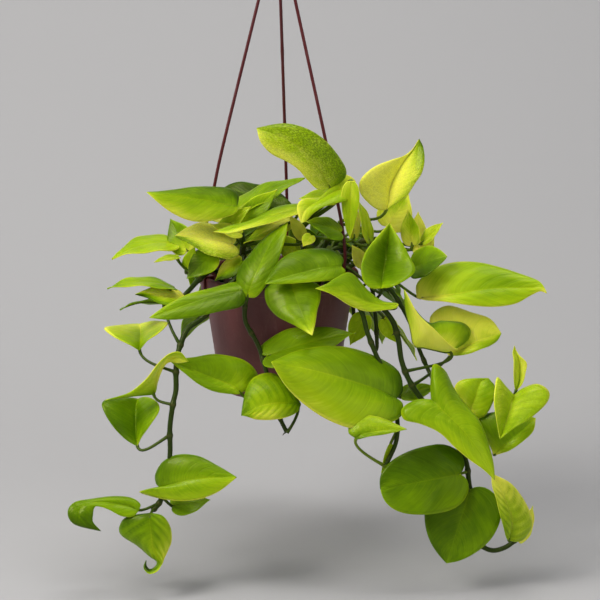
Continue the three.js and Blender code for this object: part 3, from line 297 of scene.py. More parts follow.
vine("vine_right_long", 2.3, [
    (44, -30, 86), (50, -46, 122), (62, -66, 128), (78, -76, 122), (96, -82, 110), (113, -86, 92),
    (120, -90, 73), (124, -94, 49), (134, -97, 26), (152, -102, 2), (172, -108, -23), (187, -113, -45),
    (191, -116, -67), (194, -117, -93), (197, -119, -117), (204, -121, -133), (215, -122, -139),
    (228, -122, -136), (240, -120, -128)],
    drawn("yellow_fold", 7.4, 0.92, (175, -78, 57), (125, -104, 126),
        (180, -88, 61, 169, -80, 56, 190, -66, 63),
        (175, -94, 65, 158, -84, 59, 194, -60, 73),
        (164, -100, 75, 146, -90, 63, 186, -60, 82),
        (152, -104, 88, 136, -97, 67, 165, -66, 85),
        (141, -106, 100, 132, -98, 85, 150, -78, 86),
        (132, -106, 113, 127, -99, 104, 136, -90, 104), lean=(-0.7, 0.7, 0.35)),
    drawn("side_yellow", 8, 0.95, (173, -64, 48), (226, -58, 70),
        (160, -54, 62, 180, -64, 52, 183, -70, 50),
        (154, -46, 83, 188, -63, 56, 194, -70, 52),
        (171, -42, 95, 197, -61, 60, 205, -68, 56),
        (197, -44, 88, 207, -59, 64, 215, -64, 59),
        (215, -50, 83, 217, -58, 67, 222, -60, 63), lean=(-0.25, 0.3, -0.05)),
    drawn("great_right", 9.8, 0.57, (152, -122, 18), (214, -153, -56),
        (152, -112, 32, 155, -125, 16, 136, -124, 18),
        (155, -104, 49, 159, -128, 13, 123, -128, 10),
        (167, -102, 42, 164, -131, 8, 125, -133, 0),
        (176, -106, 25, 171, -134, 2, 141, -138, -3),
        (188, -114, 9, 180, -138, -6, 160, -144, -10),
        (200, -124, -4, 190, -142, -17, 175, -148, -24),
        (208, -134, -22, 200, -146, -30, 190, -150, -37),
        (213, -144, -39, 208, -150, -43, 203, -152, -46), lean=(0.25, -0.05, 0)),
    leaf("dark_round", 11.6, (181, -126, -58), (102, -142, -69), (0, -0.97, 0.2), 0.84, 10, 5, 0.3, blunt=1,
         lean=(0.05, 0.15, -0.05), stalk=0.3),
    leaf("dark_heart", 12.4, (192, -121, -76), (169, -126, -151), (0, -0.97, 0.2), 0.98, 12, 8, 0.27,
         blunt=0.4, lean=(0.05, 0.1, 0.05)),
    # Its high tone, painted ridges and cream patches paint the pale highlights along its glossy blade.
    drawn("glossy_end", 18, 0.79, (231, -128, -127), (211, -150, -50),
        (228, -131, -122, 233, -128, -119, 245, -122, -129),
        (224, -136, -107, 234, -134, -104, 254, -124, -115),
        (220, -141, -92, 230, -140, -89, 252, -128, -98),
        (216, -145, -77, 224, -145, -74, 243, -134, -79),
        (212, -148, -64, 218, -148, -61, 230, -142, -62), ribs=0.009, mottle=0.2, lean=(0.6, -0.05, -0.2)),
    leaf("far_shell", 18, (243, -112, -131), (257, -104, -98), (0.7, -0.6, 0.3), 0.6, 15, 10, 1.12))

vine("vine_right_outer", 1.9, [
    (56, -4, 86), (66, -6, 122), (88, -8, 130), (114, -20, 108), (134, -32, 76), (145, -42, 46),
    (160, -62, 18), (180, -84, -2), (199, -90, -14), (220, -93, -20), (232, -95, -2), (236, -96, 13)],
    drawn("round_olive", 7.6, 0.73, (189, -96, -10), (212, -77, 28),
        (179, -97, -1, 194, -94, 1, 207, -97, -6),
        (176, -92, 17, 199, -90, 14, 217, -91, 10),
        (184, -85, 28, 204, -82, 25, 218, -83, 21), lean=(-0.4, 0.15, -0.2)),
    drawn("wing_right", 10.6, 0.7, (236, -102, 17), (220, -136, -19),
        (244, -100, 23, 234, -107, 13, 227, -108, 28),
        (259, -104, 29, 232, -112, 9, 218, -112, 38),
        (270, -110, 23, 230, -117, 3, 215, -120, 28),
        (267, -118, 13, 227, -122, -4, 214, -128, 16),
        (250, -128, 0, 224, -127, -10, 216, -133, 1),
        (234, -134, -8, 222, -131, -15, 218, -135, -10), lean=(-0.15, -0.05, 0), ribs=0.003, mottle=0.25),
    # Its cream patches paint highlights on its glossy blade.
    drawn("rolled_young", 11, 0.85, (238, -96, 19), (236, -94, 66),
        (236, -100, 28, 241, -95, 28, 244, -100, 28),
        (235, -102, 41, 242, -95, 39, 247, -101, 39),
        (235, -101, 52, 241, -95, 50, 248, -101, 50),
        (234, -98, 60, 238, -95, 59, 240, -98, 58), mottle=0.3, lean=(0.1, -0.1, 0.2)),
    drawn("dark_scoop", 9, 0.62, (217, -104, -45), (259, -94, -9),
        (210, -100, -30, 222, -106, -39, 226, -108, -41),
        (200, -94, -10, 228, -106, -33, 234, -110, -37),
        (213, -92, -4, 236, -105, -26, 246, -110, -28),
        (235, -92, -3, 248, -101, -17, 256, -104, -19), lean=(-0.3, -0.15, -0.55)))

vine("vine_right_upper", 2, [(36, -10, 86), (44, -16, 122), (56, -22, 140), (72, -30, 146)],
    drawn("long_right", 2.9, 0.79, (140, -54, 106), (269, -79, 116),
        (141, -44, 119, 151, -56, 107, 150, -58, 104),
        (158, -36, 133, 165, -59, 109, 164, -63, 104),
        (179, -36, 139, 182, -62, 112, 181, -68, 103),
        (202, -44, 140, 202, -65, 116, 201, -73, 102),
        (224, -54, 137, 223, -68, 119, 221, -76, 102),
        (242, -62, 133, 242, -71, 120, 239, -76, 105),
        (257, -70, 129, 256, -74, 121, 253, -75, 113),
        (264, -75, 125, 264, -77, 122, 262, -77, 118), lean=(-0.3, -0.1, -0.7), ribs=0.003),
    drawn("shield", 1.7, 0.45, (103, -82, 122), (112, -48, 182),
        (93, -88, 123, 104, -72, 127, 113, -92, 126),
        (85, -86, 131, 106, -62, 135, 127, -90, 132),
        (83, -80, 144, 108, -56, 146, 137, -80, 140),
        (88, -72, 158, 109, -52, 158, 132, -68, 151),
        (98, -62, 169, 111, -50, 169, 123, -58, 166), shade=0.35, lean=(0, 0, -0.35)))

vine("crown_left", 2, [(-40, 6, 86), (-48, 2, 122), (-58, -2, 144), (-70, -8, 150)],
    drawn("wide_top_left", 2.4, 0.52, (-41, -56, 200), (-130, -80, 219),
        (-42, -58, 194, -48, -57, 202, -40, -46, 209),
        (-56, -64, 190, -58, -60, 204, -49, -44, 216),
        (-74, -70, 187, -72, -64, 208, -66, -48, 219),
        (-90, -75, 190, -87, -69, 211, -84, -56, 220),
        (-106, -79, 199, -103, -74, 214, -102, -66, 219),
        (-120, -81, 210, -117, -78, 217, -117, -74, 219), lean=(0.2, 0.35, 0)),
    leaf("shade_top", 1.6, (2, 24, 184), (-57, 34, 203), (0, -0.55, 0.83), 0.68, 14, 6, 0.04, blunt=0.6),
    # Its tone above 1 paints light onto it, as its upper half lies in the shade of the leaf above.
    leaf("mottled_left", 2.6, (-46, -52, 161), (-102, -76, 174), (0, -0.6, 0.8), 0.78, 18, 6, 1.25, blunt=0.2,
         mottle=0.9, lean=(-0.7, -0.7, 0.2)),
    leaf("drooping_left", 3, (-109, -24, 156), (-168, -46, 144), (0, -0.32, 0.95), 0.6, 48, 8, 0.7,
         lean=(-0.1, 0.05, -0.15)),
    leaf("side_shell", 2.8, (-93, -30, 151), (-110, -12, 179), (-0.5, -0.65, 0.55), 0.8, 15, 14, 0.52,
         lean=(-0.55, -0.1, -0.2)),
    leaf("pale_gap", 2.4, (-38, -28, 174), (-68, -42, 184), (0, -0.4, 0.9), 0.5, 12, 6, 1.09),
    leaf("pale_bud", 1.8, (-92, -58, 138), (-83, -64, 161), (-0.2, -0.9, 0.3), 0.55, 12, 8, 0.67))

vine("crown_left_front", 2, [(-24, -18, 86), (-30, -26, 122), (-36, -34, 148), (-34, -38, 160)],
    leaf("long_top", 2.8, (-41, -26, 193), (27, -6, 220), (0, -0.22, 0.97), 0.48, 20, 8, 0.5,
         lean=(-0.1, 0, -0.2)),
    leaf("folded_top", 2.6, (-35, -40, 180), (-1, -32, 213), (0.3, -0.5, 0.8), 0.55, 14, 20, 0.54,
         lean=(0.05, 0.15, -0.25)),
    drawn("pale_strip", 2.4, 0.67, (21, -48, 196), (-64, -80, 179),
        (22, -58, 193, 13, -50, 195, 21, -38, 200),
        (6, -64, 189, 0, -55, 192, 2, -40, 197),
        (-12, -70, 185, -16, -61, 188, -14, -46, 191),
        (-29, -76, 181, -32, -68, 184, -28, -54, 185),
        (-47, -80, 178, -49, -74, 180, -46, -64, 182), lean=(-0.05, 0.2, -0.05)),
    leaf("shade_left", 1.7, (-66, -66, 152), (-91, -78, 131), (-0.35, -0.85, 0.4), 0.85, 14, 10, 0.29,
         lean=(-0.5, 0.2, -0.3)),
    leaf("gold_left", 1.8, (-37, -62, 146), (-63, -76, 128), (-0.2, -0.8, 0.5), 0.64, 12, 6, 0.49,
         lean=(-0.45, -0.7, 0.7)),
    leaf("shade_mid", 2.2, (9, 2, 182), (-13, 12, 199), (0, -0.6, 0.8), 0.85, 12, 6, 0.14),
    leaf("under_strip", 2.3, (13, -34, 181), (-35, -54, 162), (0, -0.5, 0.85), 0.4, 14, 6, 0.86,
         lean=(-0.7, 0.15, 0.15)),
    leaf("gap_left", 2.5, (-56, -46, 176), (-27, -50, 199), (-0.1, -0.8, 0.55), 0.5, 12, 8, 0.74),
    leaf("gap_grey", 2.2, (-38, -52, 172), (-67, -58, 182), (0.1, -0.75, 0.65), 0.5, 12, 6, 0.9),
    leaf("small_bright", 2.4, (25, -46, 167), (11, -52, 191), (0.1, -0.9, 0.4), 0.5, 12, 8, 1.05),
    leaf("deep_left", 1.9, (19, -18, 144), (-7, -32, 164), (0, -0.8, 0.6), 0.72, 12, 6, 0.75))

vine("crown_top", 2, [(8, -6, 86), (12, -8, 122), (18, -12, 154), (26, -16, 174)],
    drawn("speckled_top", 3, 0.75, (52, -54, 219), (-21, -66, 281),
        (40, -58, 218, 49, -57, 226, 64, -50, 225),
        (30, -64, 228, 43, -62, 237, 68, -50, 236),
        (21, -68, 239, 35, -66, 248, 59, -54, 253),
        (9, -70, 248, 24, -68, 259, 45, -58, 269),
        (-6, -71, 256, 10, -69, 269, 27, -60, 280),
        (-17, -71, 268, -6, -68, 276, 5, -62, 285), mottle=1, lean=(-0.05, 0.25, 0)),
    drawn("lime_fold", 2.8, 0.82, (70, -50, 214), (23, -81, 188),
        (74, -56, 211, 64, -52, 216, 78, -40, 222),
        (70, -62, 208, 57, -55, 215, 67, -40, 229),
        (59, -68, 206, 48, -61, 211, 54, -48, 221),
        (44, -74, 202, 37, -69, 206, 42, -60, 210),
        (35, -78, 197, 28, -76, 201, 25, -70, 210),
        (28, -80, 190, 24, -79, 194, 19, -77, 203), lean=(0.1, -0.1, -0.5)),
    leaf("shade_crown", 2, (62, -60, 175), (28, -72, 188), (0, -0.55, 0.83), 0.82, 14, 6, 0.47,
         lean=(0.25, -0.15, -0.35)),
    leaf("small_lime", 1.8, (33, -64, 172), (25, -74, 163), (-0.1, -0.8, 0.5), 0.88, 10, 6, 0.83),
    leaf("upright_lobe", 2.9, (73, -60, 226), (72, -63, 168), (-0.2, -0.95, 0.2), 0.33, 8, 16, 0.71,
         lean=(-0.15, -0.05, 0), lobe=0.15),
    leaf("lime_back", 2.6, (61, -34, 206), (21, -44, 206), (0, -0.7, 0.7), 0.5, 16, 6, 0.7))

vine("crown_right", 2, [(30, 6, 86), (38, 2, 122), (50, -4, 154), (62, -8, 174)],
    # Its tone above 1 and its lean paint light onto its left half, which faces away from the lamps.
    drawn("bright_upright", 3, 1.24, (110, -26, 191), (142, -32, 265),
        (98, -34, 194, 112, -24, 200, 120, -34, 199),
        (83, -40, 210, 113, -24, 210, 130, -42, 209),
        (83, -42, 225, 116, -24, 220, 137, -46, 221),
        (96, -38, 237, 122, -26, 232, 144, -46, 232),
        (115, -34, 244, 129, -28, 244, 147, -42, 244),
        (131, -32, 249, 137, -30, 256, 146, -36, 256), mottle=0.7, lean=(-0.7, 0.7, 0.4)),
    leaf("bright_behind", 2.8, (113, -6, 171), (133, 4, 203), (0, -0.9, 0.4), 0.95, 12, 8, 0.9,
         lean=(-0.5, -0.25, -0.1)),
    leaf("edge_strap", 2.2, (92, -40, 163), (80, -36, 204), (0.85, -0.5, 0.2), 0.5, 14, 10, 0.75,
         lean=(0.1, -0.05, 0)),
    leaf("lime_behind", 2, (77, -30, 166), (74, -26, 206), (0.3, -0.9, 0.3), 0.36, 14, 8, 1.15,
         lean=(-0.35, -0.7, -0.2)),
    leaf("deep_right", 1.6, (86, -44, 138), (74, -52, 160), (0.1, -0.9, 0.4), 0.6, 12, 6, 1.16))

vine("crown_right_back", 1.9, [(50, 12, 86), (62, 8, 122), (78, 2, 148), (92, -4, 156)],
    leaf("fan_right", 2.6, (137, -44, 135), (170, -56, 149), (0.1, -0.55, 0.8), 1.15, 14, 14, 0.35, blunt=0.3,
         lean=(0.05, 0.2, -0.2)),
    leaf("dark_upright", 2.6, (136, -22, 156), (132, -18, 189), (-0.5, -0.8, 0.3), 0.66, 12, 10, 0.85,
         lean=(-0.15, 0.1, -0.4)),
    leaf("lime_upright", 2.9, (143, -6, 153), (143, 0, 184), (-0.2, -0.9, 0.3), 0.6, 12, 8, 1.25),
    leaf("point_right", 3, (148, -22, 158), (167, -28, 178), (0, -0.6, 0.8), 0.55, 16, 12, 0.8),
    leaf("green_right", 2.9, (143, -24, 143), (159, -18, 160), (0, -0.8, 0.6), 0.9, 12, 8, 1.16))


# The vines on the far side, by the rule that the solids follow
BACK_SECTORS = [20, 43, 64, 103, 126]
BACK_ROUTE = [(40, 86), (46, 122), (64, 142), (90, 130), (103, 98), (108, 62), (110, 28)]
BACK_TONES = [0.42, 0.55, 0.34, 0.62, 0.48]
BACK_LEAF_LENGTH = 66
BACK_LEAF_COUNT = 5


def dice(seed):
    """Draws from a seed, the same ones that place the solids' leaves."""
    state = [seed]

    def draw(low, high):
        state[0] = state[0] * 16807 % 2147483647
        return low + (high - low) * state[0] / 2147483647

    return draw


def along_route(points, place):
    """Points on the smooth curve through a route, at places counted in route points."""
    points = np.array(points, float)
    ends = np.vstack([2 * points[0] - points[1], points, 2 * points[-1] - points[-2]])
    place = np.clip(np.atleast_1d(np.array(place, float)), 0, len(points) - 1)
    index = np.minimum(place.astype(int), len(points) - 2)
    w = (place - index)[:, None]
    p0, p1, p2, p3 = (ends[index + k] for k in range(4))
    t0, t1 = (p2 - p0) / 2, (p3 - p1) / 2
    return p1 + t0 * w + (3 * (p2 - p1) - 2 * t0 - t1) * w**2 + (2 * (p1 - p2) + t0 + t1) * w**3


def unit(way):
    return way / np.linalg.norm(way)


def back_vine(index):
    """One of the far vines: a route that hangs outward, with leaves on either hand of it in turn."""
    draw = dice(7 + 97 * index)
    azimuth = math.radians(BACK_SECTORS[index])
    outward = np.array([math.cos(azimuth), math.sin(azimuth), 0])
    sideways = np.array([-math.sin(azimuth), math.cos(azimuth), 0])
    route = [tuple(outward * out + np.array([0, 0, height])) for out, height in BACK_ROUTE]
    leaves = []
    for number in range(BACK_LEAF_COUNT):
        at = 1.6 + 0.95 * number
        hand = -1 if number % 2 else 1
        length = BACK_LEAF_LENGTH * draw(0.85, 1.05)
        base = along_route(route, at)[0] + outward * (12 + 12 * (index % 2)) + sideways * hand * 6
        base[2] += 15
        fall = outward * 0.5 + sideways * hand * draw(0.05, 0.22)
        fall[2] = -draw(0.6, 0.8)
        tip = base + unit(fall) * length
        face = outward * 0.8 + np.array([0, 0, 0.6])
        tone = BACK_TONES[(index + 2 * number) % len(BACK_TONES)]
        leaves.append(leaf(f"back_{index}_{number}", at, base, tip, face, 0.64, 22, 8, tone))
    vine(f"vine_back_{index + 1}", 2, route, *leaves)


for sector in range(len(BACK_SECTORS)):
    back_vine(sector)


def metres(points):
    """Millimetres in the pot's frame as metres in the part's frame, whose origin is the hook's seat."""
    points = np.array(points, float).reshape(-1, 3)
    return (points - [0, 0, SEAT_HEIGHT]) / 1000


def only(*objects):
    """Selects these objects and makes the first one active."""
    bpy.ops.object.select_all(action="DESELECT")
    for each in objects:
        each.select_set(True)
    bpy.context.view_layer.objects.active = objects[0]


def placed(name, data):
    """A new object with this mesh, curve, light or camera."""
    made = bpy.data.objects.new(name, data)
    bpy.context.collection.objects.link(made)
    return made


def finished(piece, name, node, material=None):
    """Names a piece, gives it its material, hides the solid of the node it stands for and puts it on the
    part's one body.
    """
    piece.name = piece.data.name = name
    if material:
        piece.data.materials.clear()
        piece.data.materials.append(material)
    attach(piece, "root")
    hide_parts(node)


def joined(objects):
    only(*objects)
    if len(objects) > 1:
        bpy.ops.object.join()
    return bpy.context.view_layer.objects.active


def edited(piece, *steps):
    """Takes each step in edit mode with all of the piece selected."""
    only(piece)
    bpy.ops.object.mode_set(mode="EDIT")
    for step in steps:
        bpy.ops.mesh.select_all(action="SELECT")
        step()
    bpy.ops.object.mode_set(mode="OBJECT")
    return piece


def merge(distance):
    """The step that merges points closer than this many metres."""
    return lambda: bpy.ops.mesh.remove_doubles(threshold=distance)


def face_outward():
    bpy.ops.mesh.normals_make_consistent(inside=False)


def apply_modifier(piece, kind, **settings):
    only(piece)
    modifier = piece.modifiers.new(kind.lower(), kind)
    for key, value in settings.items():
        setattr(modifier, key, value)
    bpy.ops.object.modifier_apply(modifier=modifier.name)


def apply_place(piece):
    only(piece)
    bpy.ops.object.transform_apply(location=True, rotation=True, scale=True)


def points_of(piece):
    """The places of a piece's points, one row each."""
    places = np.empty(len(piece.data.vertices) * 3, np.float32)
    piece.data.vertices.foreach_get("co", places)
    return places.reshape(-1, 3)


def move_points(piece, places):
    piece.data.vertices.foreach_set("co", np.asarray(places, np.float32).ravel())


def paint(piece, *look):
    """Gives the points of a piece four numbers to colour them by: tone, mottling or rings, a number of
    the piece's own, and shade or share of the way. Each is one for all points or one for each."""
    layer = piece.data.color_attributes.new("leaf_look", "FLOAT_COLOR", "POINT")
    count = len(piece.data.vertices)
    values = np.stack([np.broadcast_to(np.asarray(part, np.float32), count) for part in look], 1)
    layer.data.foreach_set("color", values.ravel())


# Blades

def bezier(points, t):
    t = np.asarray(t, float)[..., None]
    p = np.array(points, float)
    return (1 - t) ** 3 * p[0] + 3 * t * (1 - t) ** 2 * p[1] + 3 * t * t * (1 - t) * p[2] + t**3 * p[3]


def outline_at(row, s):
    """The place on the midrib, and the margin's place along and across, at a share s of the rows."""
    lobe = [(a * row["lobe"] if a < 0 else a, c) for a, c in LOBE]
    point = np.array(SHARP_POINT) + row["blunt"] * (np.array(BLUNT_POINT) - np.array(SHARP_POINT))
    back = np.clip(s / LOBE_ROW_SHARE, 0, 1)
    ahead = np.clip((s - LOBE_ROW_SHARE) / (1 - LOBE_ROW_SHARE), 0, 1)
    on_lobe = s < LOBE_ROW_SHARE
    rib = np.where(on_lobe, LOBE_RIB_SHARE * back**2, LOBE_RIB_SHARE + (1 - LOBE_RIB_SHARE) * ahead)
    margin = np.where(on_lobe[..., None], bezier(lobe, back), bezier(point, ahead))
    return rib, margin


def midrib(row):
    """Points and ways of the midrib, bent as the solid's is, in leaf lengths."""
    u = (np.arange(RIB_PIECES) + 0.5) / RIB_PIECES
    pitch = np.radians(row["bend"] * (0.5 - u))
    zero = np.zeros_like(u)
    ahead = np.stack([np.cos(pitch), zero, np.sin(pitch)], 1)
    aside = np.stack([zero, zero + 1, zero], 1)
    normal = np.cross(ahead, aside)
    normal /= np.linalg.norm(normal, axis=1)[:, None]
    points = np.vstack([np.zeros(3), np.cumsum(ahead, 0) / RIB_PIECES])
    first = unit(points[-1])
    third = unit(np.array([0, 0, 1.0]) - first * first[2])
    turn = np.stack([first, np.cross(third, first), third], 1)
    scale = 1 / np.linalg.norm(points[-1])
    return points @ turn * scale, ahead @ turn, aside @ turn, normal @ turn


def blade_axes(row):
    base, tip = np.array(row["base"], float), np.array(row["tip"], float)
    length = np.linalg.norm(tip - base)
    along = (tip - base) / length
    up = np.array(row["face"], float)
    up = unit(up - along * (up @ along))
    return base, length, along, up, np.cross(up, along)


def place_on_blade(row, a, c, height):
    """Points of a blade: a along the midrib, c across it and height above it, in leaf lengths."""
    base, length, along, up, side = blade_axes(row)
    points, ahead, aside, normal = midrib(row)
    a, c, height = np.broadcast_arrays(np.asarray(a, float), c, height)
    step = np.clip((a * RIB_PIECES).astype(int), 0, RIB_PIECES - 1)
    twist = np.radians(row["twist"]) * np.clip(a, 0, 1)
    across = aside[step] * np.cos(twist)[..., None] + normal[step] * np.sin(twist)[..., None]
    above = normal[step] * np.cos(twist)[..., None] - aside[step] * np.sin(twist)[..., None]
    local = points[step] + ahead[step] * (a - step / RIB_PIECES)[..., None]
    local = (local + across * c[..., None] + above * height[..., None]) * length
    return base + local @ np.stack([along, side, up])


def smooth(low, high, x):
    t = np.clip((x - low) / (high - low), 0, 1)
    return t * t * (3 - 2 * t)


def quilting(s, v):
    """The swelling of the blade between its side veins, about 0."""
    w = np.abs(v)
    between = np.abs(np.sin(math.pi * (s - VEIN_LEAN * w**VEIN_CURVE) * VEIN_COUNT)) - 0.6
    return between * smooth(0.05, 0.3, w) * (1 - w**6) * (1 - smooth(0.75, 0.95, s))


def relief(row, a, s, v, seed):
    """How far the waved margin and the quilting lift the blade, in leaf lengths."""
    wave = np.abs(v)**2 * np.sin(2 * math.pi * (2.1 * a + seed) + 1.3 * np.sign(v))
    return row["wave"] * wave + row["ribs"] * quilting(s, v)


def drawn_surface(row, s, v, seed):
    """The surface through a drawn leaf's rows of points, rounded between midrib and margins."""
    rows = np.array([row["base"] * 3, *row["sections"], row["tip"] * 3], float).reshape(-1, 3, 3)
    place = s * (len(rows) - 1)
    left, rib, right = (along_route(rows[:, k], place) for k in range(3))
    ahead = along_route(rows[:, 1], place + 0.1) - along_route(rows[:, 1], place - 0.1)
    normal = np.cross(ahead, left - right)
    normal /= np.linalg.norm(normal, axis=1)[:, None] + 1e-9
    half = np.where(v[:, None] > 0, left, right) - rib
    reach = np.linalg.norm(half, axis=1)
    w = np.abs(v)
    length = np.linalg.norm(rows[-1, 1] - rows[0, 1])
    rise = row["crown"] * 4 * w * (1 - w) * reach
    rise += relief(row, s, s, v, seed) * length * smooth(0, 0.15, s) * (1 - smooth(0.85, 1, s))
    return rib + half * w[:, None] + normal * rise[:, None]


def blade_surface(row, s, v, seed):
    """The waved, folded and veined surface, at shares s of the rows and v from -1 to 1 across."""
    if "sections" in row:
        return drawn_surface(row, s, v, seed)
    rib, margin = outline_at(row, s)
    half = row["width"] / 2
    a = rib + (margin[..., 0] - rib) * np.abs(v)
    c = v * margin[..., 1] * half
    fold = math.radians(row["fold"])
    height = math.sin(fold) * (np.sqrt(c * c + 0.0004) - 0.02)
    height -= row["crown"] * c * c / half
    height -= 0.004 * np.exp(-((c / 0.012) ** 2)) * (1 - smooth(0.85, 1, a))
    height += relief(row, a, s, v, seed)
    return place_on_blade(row, a, c * math.cos(fold), height)


def blade_ways(row, share):
    """Which way the midrib runs and the upper face looks, at a share of the midrib."""
    s = np.array([share - 0.02, share + 0.02, share, share])
    points = blade_surface(row, s, np.array([0, 0, 0.1, -0.1]), 0)
    along = points[1] - points[0]
    up = np.cross(along, points[2] - points[3])
    return unit(along), unit(up)


def under_rib(row, share, depth):
    """A point of the midrib, sunk some millimetres below the upper face."""
    return blade_surface(row, np.array([share]), np.zeros(1), 0)[0] - blade_ways(row, share)[1] * depth


def blade_blank():
    """A flat grid with its own UV map, from which every blade is shaped."""
    bpy.ops.mesh.primitive_grid_add(x_subdivisions=BLADE_ROWS, y_subdivisions=BLADE_COLUMNS, size=2,
                                    calc_uvs=True)
    return bpy.context.object


def blade(row, blank, seed):
    """A blade shaped from the blank, its rows of points crowded towards the midrib."""
    piece = placed(row["name"], blank.data.copy())
    flat = points_of(piece).astype(float)
    s = (flat[:, 0] + 1) / 2
    v = np.sign(flat[:, 1]) * np.abs(flat[:, 1]) ** MARGIN_CROWDING
    move_points(piece, metres(blade_surface(row, s, v, seed)))
    # Lean paints light and shade across the blade, cast shadows among them, along with the leaf's own changes
    # of tone.
    along, across, middle = row["lean"]
    tone = row["tone"] + along * (s - 0.5) + across * v + middle * (4 * s * (1 - s) - 0.67)
    # Painted highlight and shade: the ridges of the quilting are painted paler and its furrows darker, as
    # light falls on them.
    tone += 24 * row["ribs"] * quilting(s, v)
    paint(piece, tone, row["mottle"], seed, row["shade"])
    return piece


# Stems and stalks

def tube(name, path, radii, sides):
    """A round stem of varying radius along a path in millimetres, made from a bevelled curve."""
    curve = bpy.data.curves.new(name, "CURVE")
    curve.dimensions = "3D"
    curve.bevel_depth = 1
    curve.bevel_resolution = max(0, (sides - 4) // 2)
    curve.use_fill_caps = True
    spline = curve.splines.new("POLY")
    spline.points.add(len(path) - 1)
    for point, place, radius in zip(spline.points, metres(path), radii):
        point.co = (*place, 1)
        point.radius = radius / 1000
    only(placed(name, curve))
    bpy.ops.object.convert(target="MESH")
    return bpy.context.object


def nearest_share(piece, path):
    """How far along the path each point of a tube is, from 0 to 1."""
    gap = points_of(piece)[:, None] - metres(path)[None]
    return (gap**2).sum(2).argmin(1) / (len(path) - 1)


def root_nub(here, ahead, turn, length):
    """A short bent root nub beside a joint, turned so far round the stem."""
    axis = (ahead - here) / (np.linalg.norm(ahead - here) + 1e-9)
    side = unit(np.cross(axis, [0.3, 0.2, 1.0]))
    out = side * math.cos(turn) + np.cross(axis, side) * math.sin(turn)
    path = [here + out * length * k / 4 + axis * 0.06 * length * k * k / 4 for k in range(5)]
    return tube("root_nub", path, NUB_RADII, 6)


def stem(name, row, seed):
    """The main stem, thicker at its joints, with root nubs beside some of them."""
    route = row["route"]
    last = len(route) - 1
    places = np.linspace(0, last, 14 * last + 1)
    path = along_route(route, places)
    run = np.concatenate([[0], np.cumsum(np.linalg.norm(np.diff(path, axis=0), axis=1))])
    joints = sorted(float(np.interp(each["at"], places, run)) for each in row["leaves"])
    bare = np.arange(FIRST_BARE_JOINT, run[-1] - LAST_BARE_JOINT, BARE_JOINT_SPACING)
    joints += [j for j in bare if min(abs(j - k) for k in joints) > JOINT_GAP]
    swell = sum(np.exp(-(((run - j) / JOINT_LENGTH) ** 2)) for j in joints)
    radii = row["radius"] * (STEM_FOOT_SHARE - STEM_TAPER * run / run[-1])
    radii *= 1 + JOINT_SWELLING * np.minimum(swell, 1.2)
    radii[-3:] *= STEM_END
    main = tube(name, path, radii, 12)
    share = nearest_share(main, path)
    even = np.linspace(0, 1, len(path))
    ring = np.interp(share, even, np.minimum(swell, 1))
    height = np.interp(share, even, path[:, 2])
    paint(main, 0.16 + CROWN_TONE * smooth(*CROWN_HEIGHTS, height), ring, seed, share)
    parts = [main]
    draw = dice(int(seed * 1e5) + 11)
    for joint in joints:
        if joint < 60 or draw(0, 1) < 0.45:
            continue
        place = min(float(np.interp(joint, run, places)), last - 0.05)
        here, ahead = along_route(route, [place, place + 0.05])
        nub = root_nub(here, ahead, draw(0, 2 * math.pi), draw(3.2, 6.5))
        paint(nub, NUB_TONE, 1, seed, 1)
        parts.append(nub)
    return parts


def petiole(row, route, seed):
    """The stalk from the stem to the blade, which runs on under the blade as its midrib."""
    here, ahead = along_route(route, [row["at"], min(row["at"] + 0.02, len(route) - 1)])
    if np.allclose(here, ahead):
        here, ahead = along_route(route, [row["at"] - 0.02, row["at"]])
        here, ahead = ahead, 2 * ahead - here
    tangent = unit(ahead - here)
    base = np.array(row["base"], float)
    along, up = blade_ways(row, STALK_END_SHARE)
    reach = base - here
    distance = np.linalg.norm(reach)
    leave = reach / distance + tangent * 0.5 + [0, 0, 0.35]
    first = here + leave / np.linalg.norm(leave) * distance * 0.35
    rising = 0.3 * smooth(0.4, 0.9, along[2])
    second = base - along * distance * (0.1 + rising) - up * distance * (0.3 - rising)
    end = under_rib(row, STALK_END_SHARE, 0.7)
    t = np.linspace(0, 1, STALK_STEPS)
    stalk = bezier([here, first, second, end], t)
    radii = STALK_RADIUS + 0.8 * np.exp(-t * 9) + 0.3 * np.exp(-(((t - 0.93) / 0.06) ** 2))
    thin = 0.95 * np.linspace(1, 0, UNDER_RIB_STEPS) ** 0.8 + 0.16
    shares = np.linspace(0.09, 0.93, UNDER_RIB_STEPS)
    under = [under_rib(row, share, 0.4 + 0.3 * radius) for share, radius in zip(shares, thin)]
    path = np.vstack([stalk, under])
    piece = tube("petiole", path, [*radii, *thin], 8)
    share = nearest_share(piece, path)
    lit = row["stalk"] + CROWN_TONE * smooth(*CROWN_HEIGHTS, base[2])
    tone = 0.26 + lit + 0.3 * row["tone"] * smooth(0.2, 0.8, share) + 0.12 * smooth(0.5, 0.9, share)
    paint(piece, tone, 0, seed, share)
    return piece


def build_vine(name, row, index, blank):
    """One vine in one piece: its blades with their undersides, and its stem and stalks."""
    draw = dice(31 + 53 * index)
    blades, stalks = [], []
    for each in row["leaves"]:
        seed = draw(0, 1)
        each["twist"] = draw(-7, 7)
        blades.append(blade(each, blank, seed))
        stalks.append(petiole(each, row["route"], seed))
    stalks += stem(name + "_stem", row, draw(0, 1))
    blades = edited(joined(blades), merge(0.00002))
    for finish in (LEAF_TOP, LEAF_UNDER):
        blades.data.materials.append(finish)
    apply_modifier(blades, "SOLIDIFY", thickness=BLADE_THICKNESS / 1000, offset=0, material_offset=1,
                   use_even_offset=False)
    blades.data.shade_smooth()
    stalks = joined(stalks)
    stalks.data.shade_smooth()
    stalks.data.materials.clear()
    stalks.data.materials.append(STEM)
    finished(joined([blades, stalks]), name + "_leaves", name)


# Materials

def colour(red, green, blue):
    """A colour given as it looks on a screen, from 0 to 255, as the shader wants it."""
    def straight(x):
        x /= 255
        return x / 12.92 if x <= 0.04045 else ((x + 0.055) / 1.055) ** 2.4
    return (straight(red), straight(green), straight(blue), 1.0)


